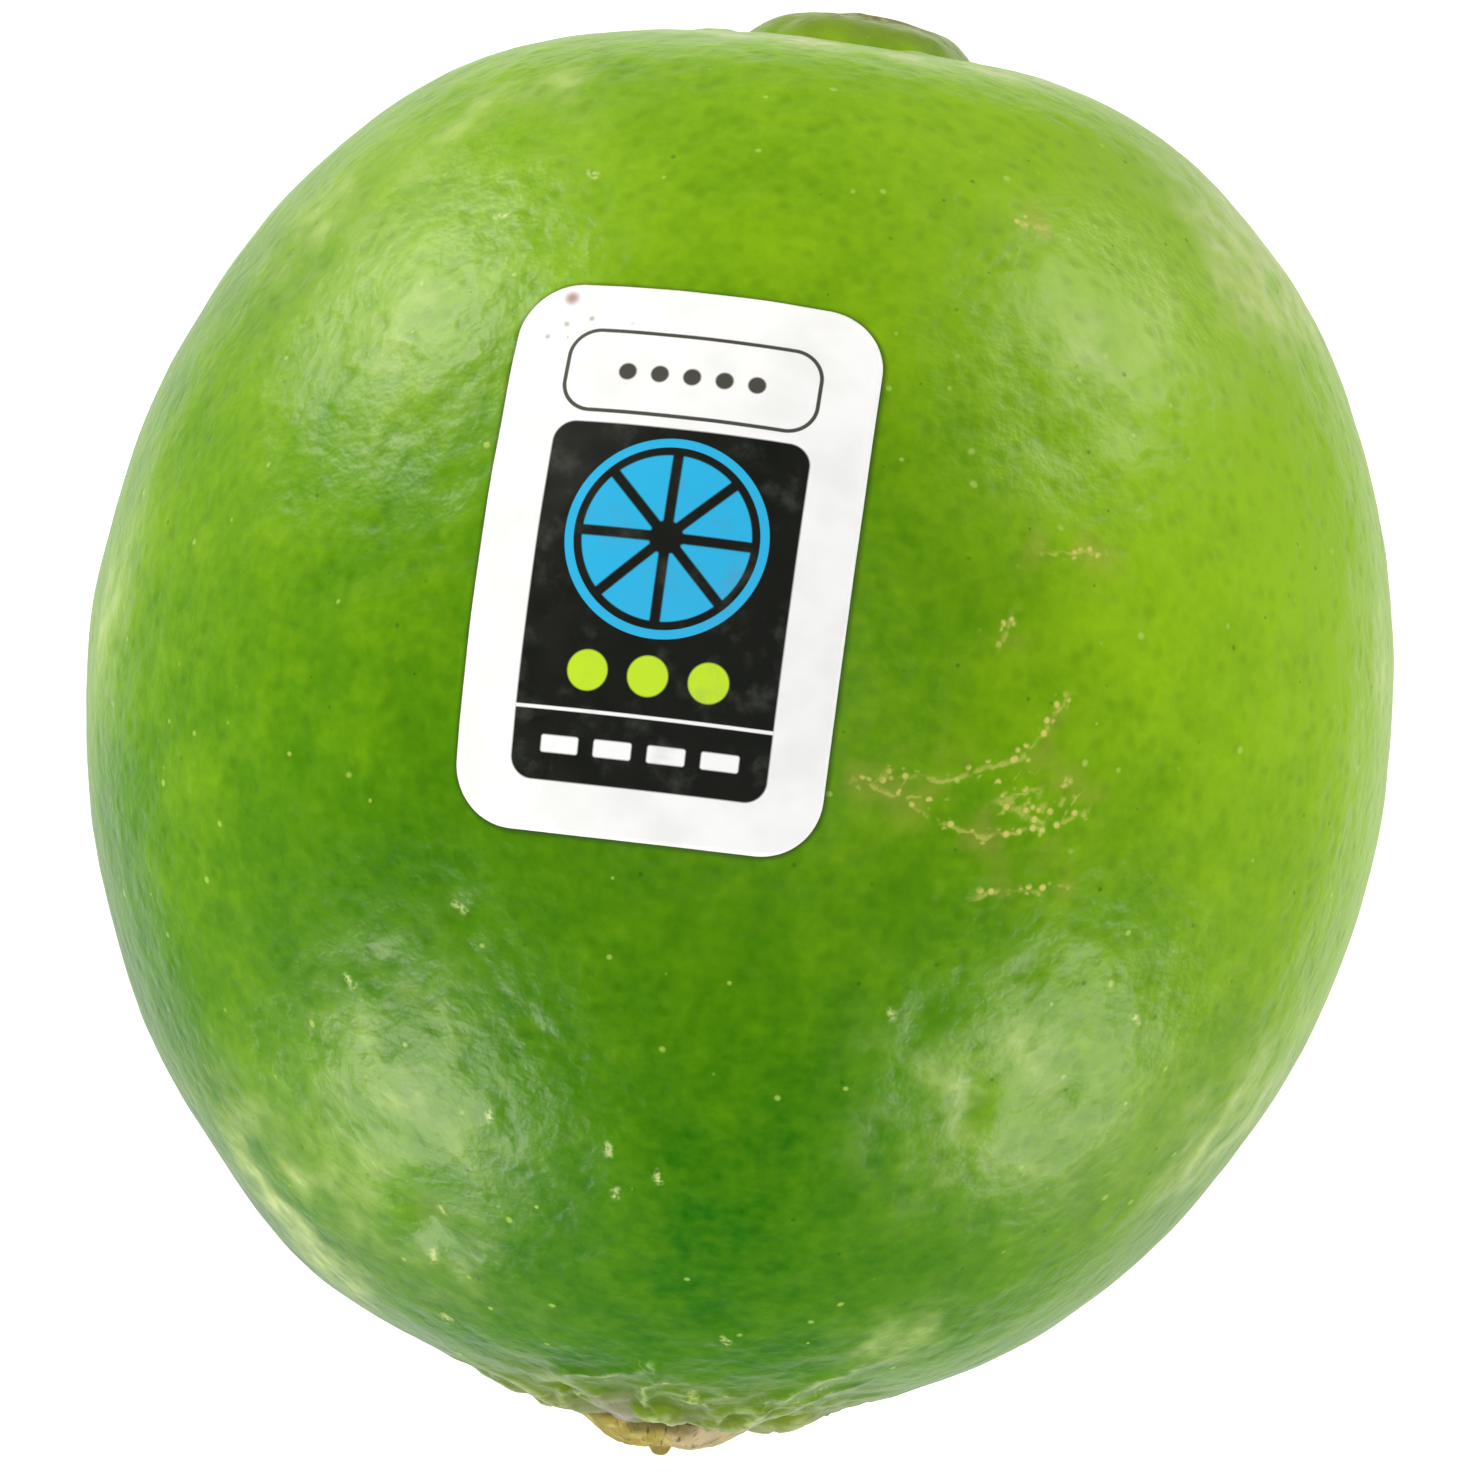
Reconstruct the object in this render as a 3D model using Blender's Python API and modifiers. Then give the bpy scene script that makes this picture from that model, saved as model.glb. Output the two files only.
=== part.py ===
"""A whole lime lying on its side, with its dry stem button and a paper label stuck on it.

Run it with blender --background --python part.py, or from Blender's text editor.
Metres, +Z up. The long axis lies along Y, with the nipple at +Y and the stem end at -Y. The fruit
rests on a small flat spot at Z = 0, and the middle of its box is at X = 0 and Y = 0.
"""

import math
import random

import bmesh
import bpy
from mathutils import Euler, Vector, noise

# The fruit starts as two halves of an ellipsoid, and its two ends are shaped from there.
HALF_WIDTH = 0.0270
NIPPLE_HALF = 0.02985
STEM_HALF = 0.0298

# The nipple end: a flattened shoulder, and the low dome of the nipple in a fine groove.
SHOULDER_ACROSS = -0.0010
SHOULDER_RADIUS = 0.0170
SHOULDER_DROP = 0.0025
NIPPLE_ACROSS = 0.0007
NIPPLE_RADIUS = 0.0050
NIPPLE_HEIGHT = 0.00135
NIPPLE_FULLNESS = 0.6
GROOVE_DEPTH = 0.00025
GROOVE_WIDTH = 0.0007

# The stem end: a puckered lip round a shallow cup, with furrows that run out from it.
STEM_ACROSS = 0.00125
LIP_RADIUS = 0.0045
LIP_WIDTH = 0.0026
LIP_RISE = 0.00045
LIP_LEAN = 0.3
CUP_RADIUS = 0.0026
CUP_DEPTH = 0.0010
FURROWS = 9
FURROW_RADIUS = 0.0056
FURROW_REACH = 0.0034
FURROW_DEPTH = 0.00034
FURROW_SWAY = 0.8
FURROW_FADE = 0.35

# The resting spot: the peel flattens round it, and is flat in the middle.
FLATTENED_RADIUS = 0.0090
FLATTENED_RISE = 0.00035
SPOT_RISE = 0.00050

# Unevenness of the peel. Wider waves are stronger than narrow ones.
WAVES = ((1.7, 0.00012), (4.3, 0.00006))
# Broad swellings and hollows of the outline seen from above: place across, along, radius and height.
SWELLINGS = (
    (0.0205, 0.0190, 0.0060, 0.00030),
    (-0.0130, 0.0262, 0.0045, -0.00030),
    (-0.0145, -0.0253, 0.0040, 0.00040),
    (-0.0080, -0.0285, 0.0025, -0.00015),
)
# Shallow dents on the side that faces up: place across, place along, radius and depth.
DENTS_ABOVE = (
    (0.0099, -0.0145, 0.0024, 0.00026),
    (-0.0088, -0.0228, 0.0018, 0.00030),
    (-0.0148, 0.0091, 0.0022, 0.00020),
    (-0.0178, 0.0122, 0.0024, 0.00022),
    (0.0100, 0.0122, 0.0026, 0.00020),
    (0.0149, -0.0140, 0.0020, 0.00018),
    (-0.0096, -0.0100, 0.0023, 0.00018),
)
# Dents on the side that faces down, scattered: how many, and the least and most of each measure.
DENTS_BELOW = 12
DENT_SEED = 7
DENT_AROUND = (math.radians(200), math.radians(340))
DENT_ALONG = (-0.75, 0.75)
DENT_RADIUS = (0.0018, 0.0030)
DENT_DEPTH = (0.00012, 0.00028)

# The stem button: five worn lobes round a collar, with the stub of the stalk in the middle.
GAP = 0.0003
CALYX_RADIUS = 0.0035
CALYX_FACE = 0.03082
CALYX_LEAN = 0.00022
CALYX_EDGE_DROP = 0.00050
CALYX_LOBES = 5
CALYX_LOBE_DEPTH = 0.09
CALYX_VALLEY = 0.00012
# Wear of its rim: how many times round, where it starts and its share of the radius.
CALYX_WEAR = ((2, 0.4, 0.040), (11, 0.0, 0.025))
COLLAR_RADIUS = 0.0015
COLLAR_WIDTH = 0.0005
COLLAR_HEIGHT = 0.00018
PIT_RADIUS = 0.0011
PIT_DEPTH = 0.00045
STUB_RADIUS = 0.00055
STUB_TIP = 0.03136

# The label, as a stranger would measure it before it was stuck on.
LABEL_WIDTH = 0.0149
LABEL_HEIGHT = 0.0225
LABEL_CORNER = 0.0025
LABEL_THICKNESS = 0.0002
LABEL_ACROSS = -0.0038
LABEL_ALONG = 0.00505
LABEL_TURN = math.radians(0.5)

# How finely each piece is divided, and the angle from which an edge counts as sharp.
SHARP_ANGLE = math.radians(40)
FRUIT_SEGMENTS = 72
FRUIT_RINGS = 56
RING_GATHER = 0.62
CALYX_SEGMENTS = 45
CALYX_RINGS = 22
CALYX_FACE_SHARE = 0.44
LABEL_COLUMNS = 15
LABEL_ROWS = 22

# Where the ellipsoid's middle stands: over the spot, and shifted so that the box is centred.
SPOT_HEIGHT = HALF_WIDTH - SPOT_RISE
NIPPLE_TIP = NIPPLE_HALF - SHOULDER_DROP + NIPPLE_HEIGHT
MIDDLE = Vector((0.0, (STUB_TIP - NIPPLE_TIP) / 2, SPOT_HEIGHT))


def bump(distance, radius):
    """A smooth hill, 1 at its middle and 0 from its radius outwards."""
    return max(0.0, 1 - (distance / radius) ** 2) ** 2


def ring_hill(distance, radius, width):
    """A ridge of height 1 that runs round at one radius."""
    return math.exp(-(((distance - radius) / width) ** 2))


def half_length(along):
    return NIPPLE_HALF if along > 0 else STEM_HALF


def ellipsoid_point(direction):
    length = half_length(direction.y)
    return Vector((HALF_WIDTH * direction.x, length * direction.y, HALF_WIDTH * direction.z))


def ellipsoid_direction(across, along):
    """The direction of a place on the upper side, given as distances across and along."""
    right = across / HALF_WIDTH
    forward = along / half_length(along)
    return Vector((right, forward, math.sqrt(max(0.0, 1 - right**2 - forward**2))))


def outward(direction):
    """The ellipsoid's outward normal in a direction from its middle."""
    length = half_length(direction.y)
    return Vector((direction.x / HALF_WIDTH, direction.y / length, direction.z / HALF_WIDTH)).normalized()


def nipple_rise(x, z):
    """How far the peel stands out of the ellipsoid at the nipple end, along Y."""
    from_shoulder = math.hypot(x - SHOULDER_ACROSS, z)
    from_nipple = math.hypot(x - NIPPLE_ACROSS, z)
    dome = max(0.0, 1 - (from_nipple / NIPPLE_RADIUS) ** 2) ** NIPPLE_FULLNESS
    groove = ring_hill(from_nipple, NIPPLE_RADIUS, GROOVE_WIDTH)
    drop = SHOULDER_DROP * bump(from_shoulder, SHOULDER_RADIUS)
    return NIPPLE_HEIGHT * dome - GROOVE_DEPTH * groove - drop


def stem_rise(x, z):
    """How far the peel stands out of the ellipsoid at the stem end, along -Y."""
    away = math.hypot(x - STEM_ACROSS, z)
    around = math.atan2(z, x - STEM_ACROSS)
    lip = LIP_RISE * (1 + LIP_LEAN * math.cos(around)) * ring_hill(away, LIP_RADIUS, LIP_WIDTH)
    cup = CUP_DEPTH * math.exp(-((away / CUP_RADIUS) ** 2))
    pleat = ((1 + math.cos(FURROWS * around + FURROW_SWAY * math.sin(2 * around + 1))) / 2) ** 2
    strength = 1 - FURROW_FADE + FURROW_FADE * math.sin(3 * around + 0.7)
    furrows = FURROW_DEPTH * pleat * strength * ring_hill(away, FURROW_RADIUS, FURROW_REACH)
    return lip - cup - furrows


def hills():
    """Every swelling and dent as its middle on the ellipsoid, its radius and its height."""
    found = []
    for across, along, radius, height in SWELLINGS:
        found.append((ellipsoid_point(ellipsoid_direction(across, along)), radius, height))
    for across, along, radius, depth in DENTS_ABOVE:
        found.append((ellipsoid_point(ellipsoid_direction(across, along)), radius, -depth))
    draw = random.Random(DENT_SEED)
    for _ in range(DENTS_BELOW):
        around = draw.uniform(*DENT_AROUND)
        along = draw.uniform(*DENT_ALONG)
        flat = math.sqrt(1 - along**2)
        direction = Vector((flat * math.cos(around), along, flat * math.sin(around)))
        found.append((ellipsoid_point(direction), draw.uniform(*DENT_RADIUS), -draw.uniform(*DENT_DEPTH)))
    return found


HILLS = hills()


def unevenness(direction):
    """The height of the peel's waves, swellings and dents."""
    rise = sum(depth * noise.noise(direction * count) for count, depth in WAVES)
    place = ellipsoid_point(direction)
    for middle, radius, height in HILLS:
        distance = (place - middle).length
        if distance < 3 * radius:
            rise += height * math.exp(-((distance / radius) ** 2))
    return rise


def peel_point(direction, off=0.0):
    """The peel's point in a direction from the ellipsoid's middle, raised off it by a distance."""
    point = ellipsoid_point(direction)
    if direction.y > 0:
        point.y += nipple_rise(point.x, point.z)
    else:
        point.y -= stem_rise(point.x, point.z)
    point += outward(direction) * (unevenness(direction) + off)
    if direction.z < 0:
        point.z += FLATTENED_RISE * bump(math.hypot(point.x, point.y), FLATTENED_RADIUS)
    return point


def material(name, colour, roughness):
    """A plain surface of one colour, from its linear RGB values."""
    made = bpy.data.materials.new(name)
    made.use_nodes = True
    surface = made.node_tree.nodes["Principled BSDF"]
    surface.inputs["Base Color"].default_value = (*colour, 1.0)
    surface.inputs["Roughness"].default_value = roughness
    surface.inputs["Metallic"].default_value = 0.0
    made.diffuse_color = (*colour, 1.0)
    return made


def add_piece(name, bm, finish, collection):
    """Makes a smooth-shaded object from a bmesh and stands it at the fruit's middle."""
    mesh = bpy.data.meshes.new(name)
    bm.to_mesh(mesh)
    bm.free()
    mesh.materials.append(finish)
    mesh.shade_smooth()
    mesh.set_sharp_from_angle(angle=SHARP_ANGLE)
    piece = bpy.data.objects.new(name, mesh)
    piece.location = MIDDLE
    collection.objects.link(piece)
    return piece


def gathered(polar):
    """Draws a sphere's rings together at its two poles, where the fruit has its detail."""
    return polar - RING_GATHER * math.sin(2 * polar) / 2


def make_fruit(collection):
    """The fruit: a sphere with its poles along Y, shaped point by point and cut flat underneath."""
    bm = bmesh.new()
    bmesh.ops.create_uvsphere(bm, u_segments=FRUIT_SEGMENTS, v_segments=FRUIT_RINGS, radius=1.0)
    for vertex in bm.verts:
        polar = gathered(math.acos(max(-1.0, min(1.0, vertex.co.z))))
        around = math.atan2(vertex.co.y, vertex.co.x)
        across = math.sin(polar) * math.cos(around)
        height = -math.sin(polar) * math.sin(around)
        vertex.co = peel_point(Vector((across, math.cos(polar), height)))
    everything = bm.verts[:] + bm.edges[:] + bm.faces[:]
    floor = Vector((0, 0, -SPOT_HEIGHT))
    bmesh.ops.bisect_plane(bm, geom=everything, plane_co=floor, plane_no=(0, 0, -1), clear_outer=True)
    bmesh.ops.holes_fill(bm, edges=[edge for edge in bm.edges if edge.is_boundary])
    bmesh.ops.recalc_face_normals(bm, faces=bm.faces)
    return add_piece("fruit", bm, material("peel", (0.11, 0.30, 0.01), 0.42), collection)


def calyx_lobes(around):
    """1 at the middle of each lobe and -1 in each valley between two; the lobes are unlike in width."""
    return math.cos(CALYX_LOBES * around + 0.9 + 0.5 * math.sin(around))


def calyx_radius(around):
    """The rim of the stem button, with five lobes worn unevenly."""
    wear = sum(share * math.sin(times * around + start) for times, start, share in CALYX_WEAR)
    return CALYX_RADIUS * (1 + CALYX_LOBE_DEPTH * calyx_lobes(around) + wear)


def calyx_face(away, around):
    """How far out the stem button's outer face lies, along -Y."""
    reach = away / calyx_radius(around)
    face = CALYX_FACE - CALYX_LEAN * reach * math.cos(around)
    face -= CALYX_EDGE_DROP * reach**6
    face -= CALYX_VALLEY * (1 - calyx_lobes(around)) * reach**2 / 2
    face += COLLAR_HEIGHT * ring_hill(away, COLLAR_RADIUS, COLLAR_WIDTH)
    face -= PIT_DEPTH * math.exp(-((away / PIT_RADIUS) ** 2))
    stub = math.exp(-((away / STUB_RADIUS) ** 4))
    return face + (STUB_TIP - face) * stub


def stem_peel_y(x, z):
    """The peel's own Y at the stem end, over a place across and up."""
    flat = (x / HALF_WIDTH) ** 2 + (z / HALF_WIDTH) ** 2
    return peel_point(Vector((x / HALF_WIDTH, -math.sqrt(1 - flat), z / HALF_WIDTH))).y


def make_calyx(collection):
    """The stem button: a sphere flattened into a lobed disc whose underside follows the cup."""
    bm = bmesh.new()
    bmesh.ops.create_uvsphere(bm, u_segments=CALYX_SEGMENTS, v_segments=CALYX_RINGS, radius=1.0)
    for vertex in bm.verts:
        share = math.acos(max(-1.0, min(1.0, vertex.co.z))) / math.pi
        around = math.atan2(vertex.co.y, vertex.co.x)
        reach = min(1.0, share / CALYX_FACE_SHARE, (1 - share) / CALYX_FACE_SHARE)
        depth = max(0.0, min(1.0, (share - CALYX_FACE_SHARE) / (1 - 2 * CALYX_FACE_SHARE)))
        away = reach * calyx_radius(around)
        x = STEM_ACROSS + away * math.cos(around)
        z = away * math.sin(around)
        under = stem_peel_y(x, z) - GAP
        outer = -calyx_face(away, around)
        vertex.co = Vector((x, outer + depth * (under - outer), z))
    return add_piece("calyx", bm, material("dry_calyx", (0.33, 0.27, 0.09), 0.8), collection)


def rounded(across, along):
    """Moves a point of the label's rectangle so that the corners become quarter circles."""
    inner_x = LABEL_WIDTH / 2 - LABEL_CORNER
    inner_y = LABEL_HEIGHT / 2 - LABEL_CORNER
    past_x = abs(across) - inner_x
    past_y = abs(along) - inner_y
    if past_x <= 0 or past_y <= 0:
        return across, along
    u = past_x / LABEL_CORNER
    v = past_y / LABEL_CORNER
    round_x = inner_x + LABEL_CORNER * u * math.sqrt(1 - v**2 / 2)
    round_y = inner_y + LABEL_CORNER * v * math.sqrt(1 - u**2 / 2)
    return math.copysign(round_x, across), math.copysign(round_y, along)


def label_direction(across, along):
    """Wraps a point of the flat label onto the fruit, as a direction from the fruit's middle."""
    turned = Vector((across, along, 0))
    turned.rotate(Euler((0, 0, LABEL_TURN)))
    middle = ellipsoid_direction(LABEL_ACROSS, LABEL_ALONG)
    right = (Vector((1, 0, 0)) - middle * middle.x).normalized()
    up = middle.cross(right)
    step = right * (turned.x / HALF_WIDTH) + up * (turned.y / half_length(LABEL_ALONG))
    angle = step.length
    if angle == 0:
        return middle
    return middle * math.cos(angle) + step * (math.sin(angle) / angle)


def make_label(collection):
    """The label: a grid with rounded corners, wrapped round the peel and given its thickness."""
    bm = bmesh.new()
    bmesh.ops.create_grid(bm, x_segments=LABEL_COLUMNS, y_segments=LABEL_ROWS, size=0.5)
    for vertex in bm.verts:
        across, along = rounded(vertex.co.x * LABEL_WIDTH, vertex.co.y * LABEL_HEIGHT)
        vertex.co = peel_point(label_direction(across, along), off=GAP)
    label = add_piece("label", bm, material("label_paper", (0.88, 0.88, 0.87), 0.45), collection)
    shell = label.modifiers.new("thickness", "SOLIDIFY")
    shell.thickness = LABEL_THICKNESS
    shell.offset = 1.0
    shell.use_even_offset = True
    return label


def main():
    for old in list(bpy.data.objects):
        bpy.data.objects.remove(old)
    lime = bpy.data.collections.new("lime")
    bpy.context.scene.collection.children.link(lime)
    make_fruit(lime)
    make_calyx(lime)
    make_label(lime)


main()
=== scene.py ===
"""The looks of a whole lime: its peel, its dry stem button and the paper label stuck on it.

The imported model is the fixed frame. Lengths are in metres, but in millimetres in the tables of marks
and patches, in the stored patterns of the peel and in the materials.
"""

import math
import random

import bmesh
import bpy
import numpy as np
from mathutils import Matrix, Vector, noise


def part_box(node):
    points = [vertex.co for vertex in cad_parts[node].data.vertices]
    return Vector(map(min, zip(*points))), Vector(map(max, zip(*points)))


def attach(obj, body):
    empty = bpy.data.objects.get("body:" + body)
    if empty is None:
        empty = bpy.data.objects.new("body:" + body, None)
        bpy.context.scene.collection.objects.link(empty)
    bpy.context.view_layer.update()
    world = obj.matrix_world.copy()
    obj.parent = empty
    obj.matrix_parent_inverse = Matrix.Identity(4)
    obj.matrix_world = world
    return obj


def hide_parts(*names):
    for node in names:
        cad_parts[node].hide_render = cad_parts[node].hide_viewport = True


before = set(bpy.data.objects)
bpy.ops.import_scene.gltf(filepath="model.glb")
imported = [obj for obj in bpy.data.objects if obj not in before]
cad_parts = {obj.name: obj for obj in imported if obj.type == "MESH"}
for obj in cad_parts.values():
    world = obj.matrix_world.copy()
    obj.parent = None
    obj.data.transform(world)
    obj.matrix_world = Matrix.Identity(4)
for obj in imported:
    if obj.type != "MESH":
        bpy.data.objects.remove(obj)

bl_info = {
    "name": "Lime dresser",
    "version": (1, 0, 0),
    "blender": (4, 5, 0),
    "location": "3D View > Sidebar > Lime",
    "description": "Gives a plain lime its peel, its stem button, its label and a studio",
    "category": "Object",
}

MM = 0.001

# The fruit's form, as in the solids: two half ellipsoids whose ends are shaped.
HALF_WIDTH = 0.0270
NIPPLE_HALF = 0.02985
STEM_HALF = 0.0298
SHOULDER_ACROSS = -0.0010
SHOULDER_RADIUS = 0.0170
SHOULDER_DROP = 0.0025
NIPPLE_ACROSS = 0.0007
NIPPLE_RADIUS = 0.0050
NIPPLE_HEIGHT = 0.00135
NIPPLE_FULLNESS = 0.6
GROOVE_DEPTH = 0.00025
GROOVE_WIDTH = 0.0007
STEM_ACROSS = 0.00125
LIP_RADIUS = 0.0045
LIP_WIDTH = 0.0026
LIP_RISE = 0.00045
LIP_LEAN = 0.3
CUP_RADIUS = 0.0026
CUP_DEPTH = 0.0010
FURROWS = 9
FURROW_RADIUS = 0.0056
FURROW_REACH = 0.0034
FURROW_DEPTH = 0.00034
FURROW_SWAY = 0.8
FURROW_FADE = 0.35
FLATTENED_RADIUS = 0.0090
FLATTENED_RISE = 0.00035
SPOT_RISE = 0.00050
WAVES = ((1.7, 0.00012), (4.3, 0.00006))
# Broad swellings and dents of the upper side, in millimetres: across, along, radius and height or depth.
SWELLINGS = (
    (20.5, 19, 6, 0.3),
    (-13, 26.2, 4.5, -0.3),
    (-14.5, -25.3, 4, 0.4),
    (-8, -28.5, 2.5, -0.15),
)
DENTS_ABOVE = (
    (9.9, -14.5, 2.4, 0.26),
    (-8.8, -22.8, 1.8, 0.3),
    (-14.8, 9.1, 2.2, 0.2),
    (-17.8, 12.2, 2.4, 0.22),
    (10, 12.2, 2.6, 0.2),
    (14.9, -14, 2, 0.18),
    (-9.6, -10, 2.3, 0.18),
)
DENTS_BELOW = 12
DENT_SEED = 7
DENT_AROUND = (math.radians(200), math.radians(340))
DENT_ALONG = (-0.75, 0.75)
DENT_RADIUS = (1.8, 3.0)
DENT_DEPTH = (0.12, 0.28)

# Finer relief, which only the dressed peel has: waves, how many to a millimetre and how high.
RIPPLES = ((0.15, 0.00007), (0.36, 0.00005), (0.80, 0.000026))
# Small marks of the upper side, in millimetres: across, along, radius and depth, below 0 if raised.
MARKS = (
    (-5.97, -14.15, 0.45, 0.18),
    (-6.43, -13.58, 0.35, 0.1),
    (-2.52, -18.4, 0.45, -0.07),
    (-9.75, -9.9, 0.6, 0.14),
    (-8.79, -10.47, 0.55, -0.1),
    (-13.55, -13.45, 0.7, -0.12),
    (-12.63, -12.37, 0.7, 0.13),
    (-11.24, -13.07, 0.65, 0.11),
    (-11.3, -19.21, 0.6, 0.09),
    (-7.33, -17.78, 0.5, -0.08),
    (-9.46, -22.5, 0.9, 0.22),
    (-8.45, -22.15, 0.6, -0.12),
    (-8.95, -23.95, 0.6, -0.12),
    (-6.91, -23.96, 0.5, -0.09),
    (-12.18, -23.17, 0.65, 0.12),
    (2.96, -24.39, 0.6, 0.1),
    (3.21, -25.54, 0.5, -0.09),
    (8.79, -11.02, 0.75, 0.15),
    (7.7, -11.45, 0.6, -0.11),
    (11.32, -14.2, 0.6, 0.16),
    (11.3, -15.4, 0.6, 0.16),
    (10.19, -14.29, 0.65, -0.14),
    (12.88, -11.7, 0.6, 0.1),
    (14.85, -14.21, 0.7, 0.14),
    (14.75, -8.27, 0.6, 0.1),
    (14.91, -7.49, 0.5, -0.08),
    (17.35, -10.27, 0.6, -0.09),
    (12.91, -8.68, 0.55, 0.09),
    (-12.6, 6.5, 0.6, 0.12),
    (-14, 10.3, 0.85, -0.12),
    (-15.5, 11.3, 0.7, 0.12),
    (-12.3, 11.8, 0.6, -0.09),
    (-20.2, 14.2, 0.9, 0.12),
    (-18.5, 16.5, 0.8, -0.1),
    (-9.4, 16.2, 0.7, 0.1),
    (10.5, 11.7, 0.75, 0.11),
    (12.3, 14.8, 0.9, -0.11),
    (13.3, 12.8, 0.7, 0.1),
    (15.2, 18, 0.8, -0.1),
    (11.3, 17.3, 0.6, 0.1),
)
# Patches of pale colour on the upper side, partly wax bloom and partly painted glare from the softboxes
# and painted reflection along the rims: across, along and radius in millimetres, and strength.
BLOOM_AND_GLARE_PATCHES = (
    (-15.9, 13.8, 4, 1.1),
    (-15, 21.2, 3.8, 0.9),
    (-20, 16.8, 4.2, 1.9),
    (-14, 10.3, 3, 1),
    (-10, 16.5, 3, 0.5),
    (12.3, 14.8, 4, 0.9),
    (14.1, 17.1, 4, 0.9),
    (10.3, 11.5, 3, 0.6),
    (8, 19.5, 3.5, 0.4),
    (-9.9, -20.5, 4.5, 1.1),
    (-12.4, -17.2, 4, 1.1),
    (-10.9, -12.9, 3, 0.8),
    (-14.7, -21.8, 4, 1.2),
    (-7, -25, 3, 0.7),
    (12.5, -13.9, 4.5, 1.2),
    (10.8, -15.7, 3.5, 1.2),
    (16.9, -15.7, 4.5, 0.6),
    (7.7, -11.5, 2, 0.7),
    (-13.1, -25.3, 4, 1.8),
    (-17, -21.5, 4, 2.5),
    (17.9, 20.6, 5, 4.4),
    (22.6, -13.4, 4.5, 3.2),
    (-10.8, 24.2, 5, 1.1),
    (25.4, 5, 4.5, 2.2),
    (-26.1, 0, 4, 2),
    (10.6, -25.2, 3.5, 2.2),
    (18.5, 20.8, 4.5, 3.4),
)
# Patches of another tone, in the same way, and how much yellower, or greener below 0.
TONE_PATCHES = (
    (3, -21.5, 7.5, -0.11),
    (-12.5, -20.5, 7.5, 0.42),
    (-16.5, 15.5, 8.5, 0.12),
    (16.5, 19.5, 9, 0.22),
    (-20, 0, 8, 0.09),
    (6.5, 6.5, 5, -0.1),
    (-21, -8, 7, 0.18),
    (-26.2, -2, 6, 0.2),
    (20.5, 5, 9, 0.11),
    (18.5, 21.2, 5, 0.25),
)
# Tone of the green, which is deepest at 0: in the middle, then across, along, and their squares. It is
# partly the fruit's own tone and partly painted light, which makes the middle deepest and the sides and
# the nipple end paler.
TONE_AND_PAINTED_LIGHT = (0.45, 0.27, 0.40, 0.26, 0.05)
# Scattered dimples, radius and depth in millimetres.
DIMPLES = 800
DIMPLE_SEED = 31
DIMPLE_RADIUS = (0.45, 0.95)
DIMPLE_DEPTH = (-0.02, 0.03)
# Puckers round the stem button: how many round and along, and how strong.
WRINKLES = ((3.4, 0.45, 1.0), (7.5, 0.9, 0.6))
WRINKLE_DEPTH = 0.00016
WRINKLE_RADIUS = 0.0058
WRINKLE_REACH = 0.0036
# Pale folds over the stem button, as chains of points in millimetres across and up.
FOLDS = (
    ((0.6, 11.3), (0.4, 9.1), (0.5, 7), (1, 5.9), (2.1, 4.6), (3.3, 4.2)),
    ((4, 4), (4.7, 5.9), (5.4, 7.3), (7.5, 9.4), (8.8, 9.9)),
    ((5.4, 6.5), (7.3, 7.2), (8.6, 7.6)),
    ((-3.4, 8.3), (-1.6, 9.3), (-0.2, 10.6)),
    ((1.6, 8.6), (2.9, 7.2)),
    ((-2.6, 5.6), (-1.4, 7)),
)
FOLD_HEIGHT = 0.00016
FOLD_WIDTH = 0.40
NIPPLE_LUMPS = ((0.45, 0.00022), (1.0, 0.00012))
RING_GATHER = 0.4

# Scar lines on the upper side, as chains of points in millimetres across and along.
SCARS = (
    ((5.08, -2.63), (7.21, -3.11), (8.61, -3.69), (10.23, -3.85), (12.72, -3.09), (14, -2.23)),
    ((11.1, -2.75), (12.2, -2.35)),
    ((10.6, -2.3), (11.8, -1.8)),
    ((12.9, -2.5), (13.1, -1.6)),
    ((6.2, -1.95), (8.14, -1.9), (9.26, -1.42), (10.77, -0.88), (11.98, 0.37), (12.45, 1.82)),
    ((10.38, -6.13), (11.1, -6)),
    ((12, -5.8), (13.3, -5.45)),
    ((8.1, 20.3), (9.1, 20.45)),
    ((10.76, 7.32), (13.1, 7.89)),
    ((9.8, 3.6), (10.1, 4.9)),
)
# Pale flecks on the upper side, in the same way.
FLECKS = (
    ((-2.55, -18.15), (-2.51, -18.35)),
    ((-0.5, -19), (-0.43, -19.2)),
    ((-2.05, -20), (-2.01, -20.08)),
    ((-7.4, -17.7), (-7.34, -17.78)),
    ((3.15, -25.5), (3.21, -25.54)),
    ((17.3, -10.2), (17.36, -10.28)),
    ((-8.9, -22.05), (-8.82, -22.21)),
    ((-8.95, -23.85), (-8.89, -23.99)),
    ((-9.9, -9.7), (-9.66, -9.86)),
    ((-13.8, -13.2), (-13.56, -13.36)),
    ((-8.1, -26.4), (-8.02, -26.48)),
    ((7.6, -11.2), (7.66, -11.4)),
    ((-12.4, 17.6), (-12.2, 17.72)),
    ((-9, 19.8), (-8.8, 19.72)),
    ((2.2, -28.2), (2.28, -28.24)),
)

# How softly the rim of the flat spot is rounded.
SPOT_SOFTNESS = 0.00006

# Noises that make the peel's patterns uneven: how many to a millimetre and how strong.
RAGGED = ((0.7, 1.5), (1.5, 0.8), (3.0, 0.4))
TONE_NOISE = ((0.085, 0.12), (0.17, 0.08), (0.36, 0.11), (0.8, 0.08))
BLOOM_AND_GLARE_NOISE = ((0.28, 1.1), (0.6, 0.9))
BLUSH_NOISE = ((0.55, 1.0), (1.2, 0.5))
SHOULDER_NOISE = ((0.5, 1.0), (1.1, 0.5))
SCAR_SHAKE = ((0.5, 0.3),)
FOLD_SHAKE = ((0.9, 0.5),)
# How far a pattern's lines reach to their sides, in millimetres.
SCAR_REACH = 0.8
FLECK_REACH = 0.9
FOLD_REACH = 1.4
FAR = 9.0
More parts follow.
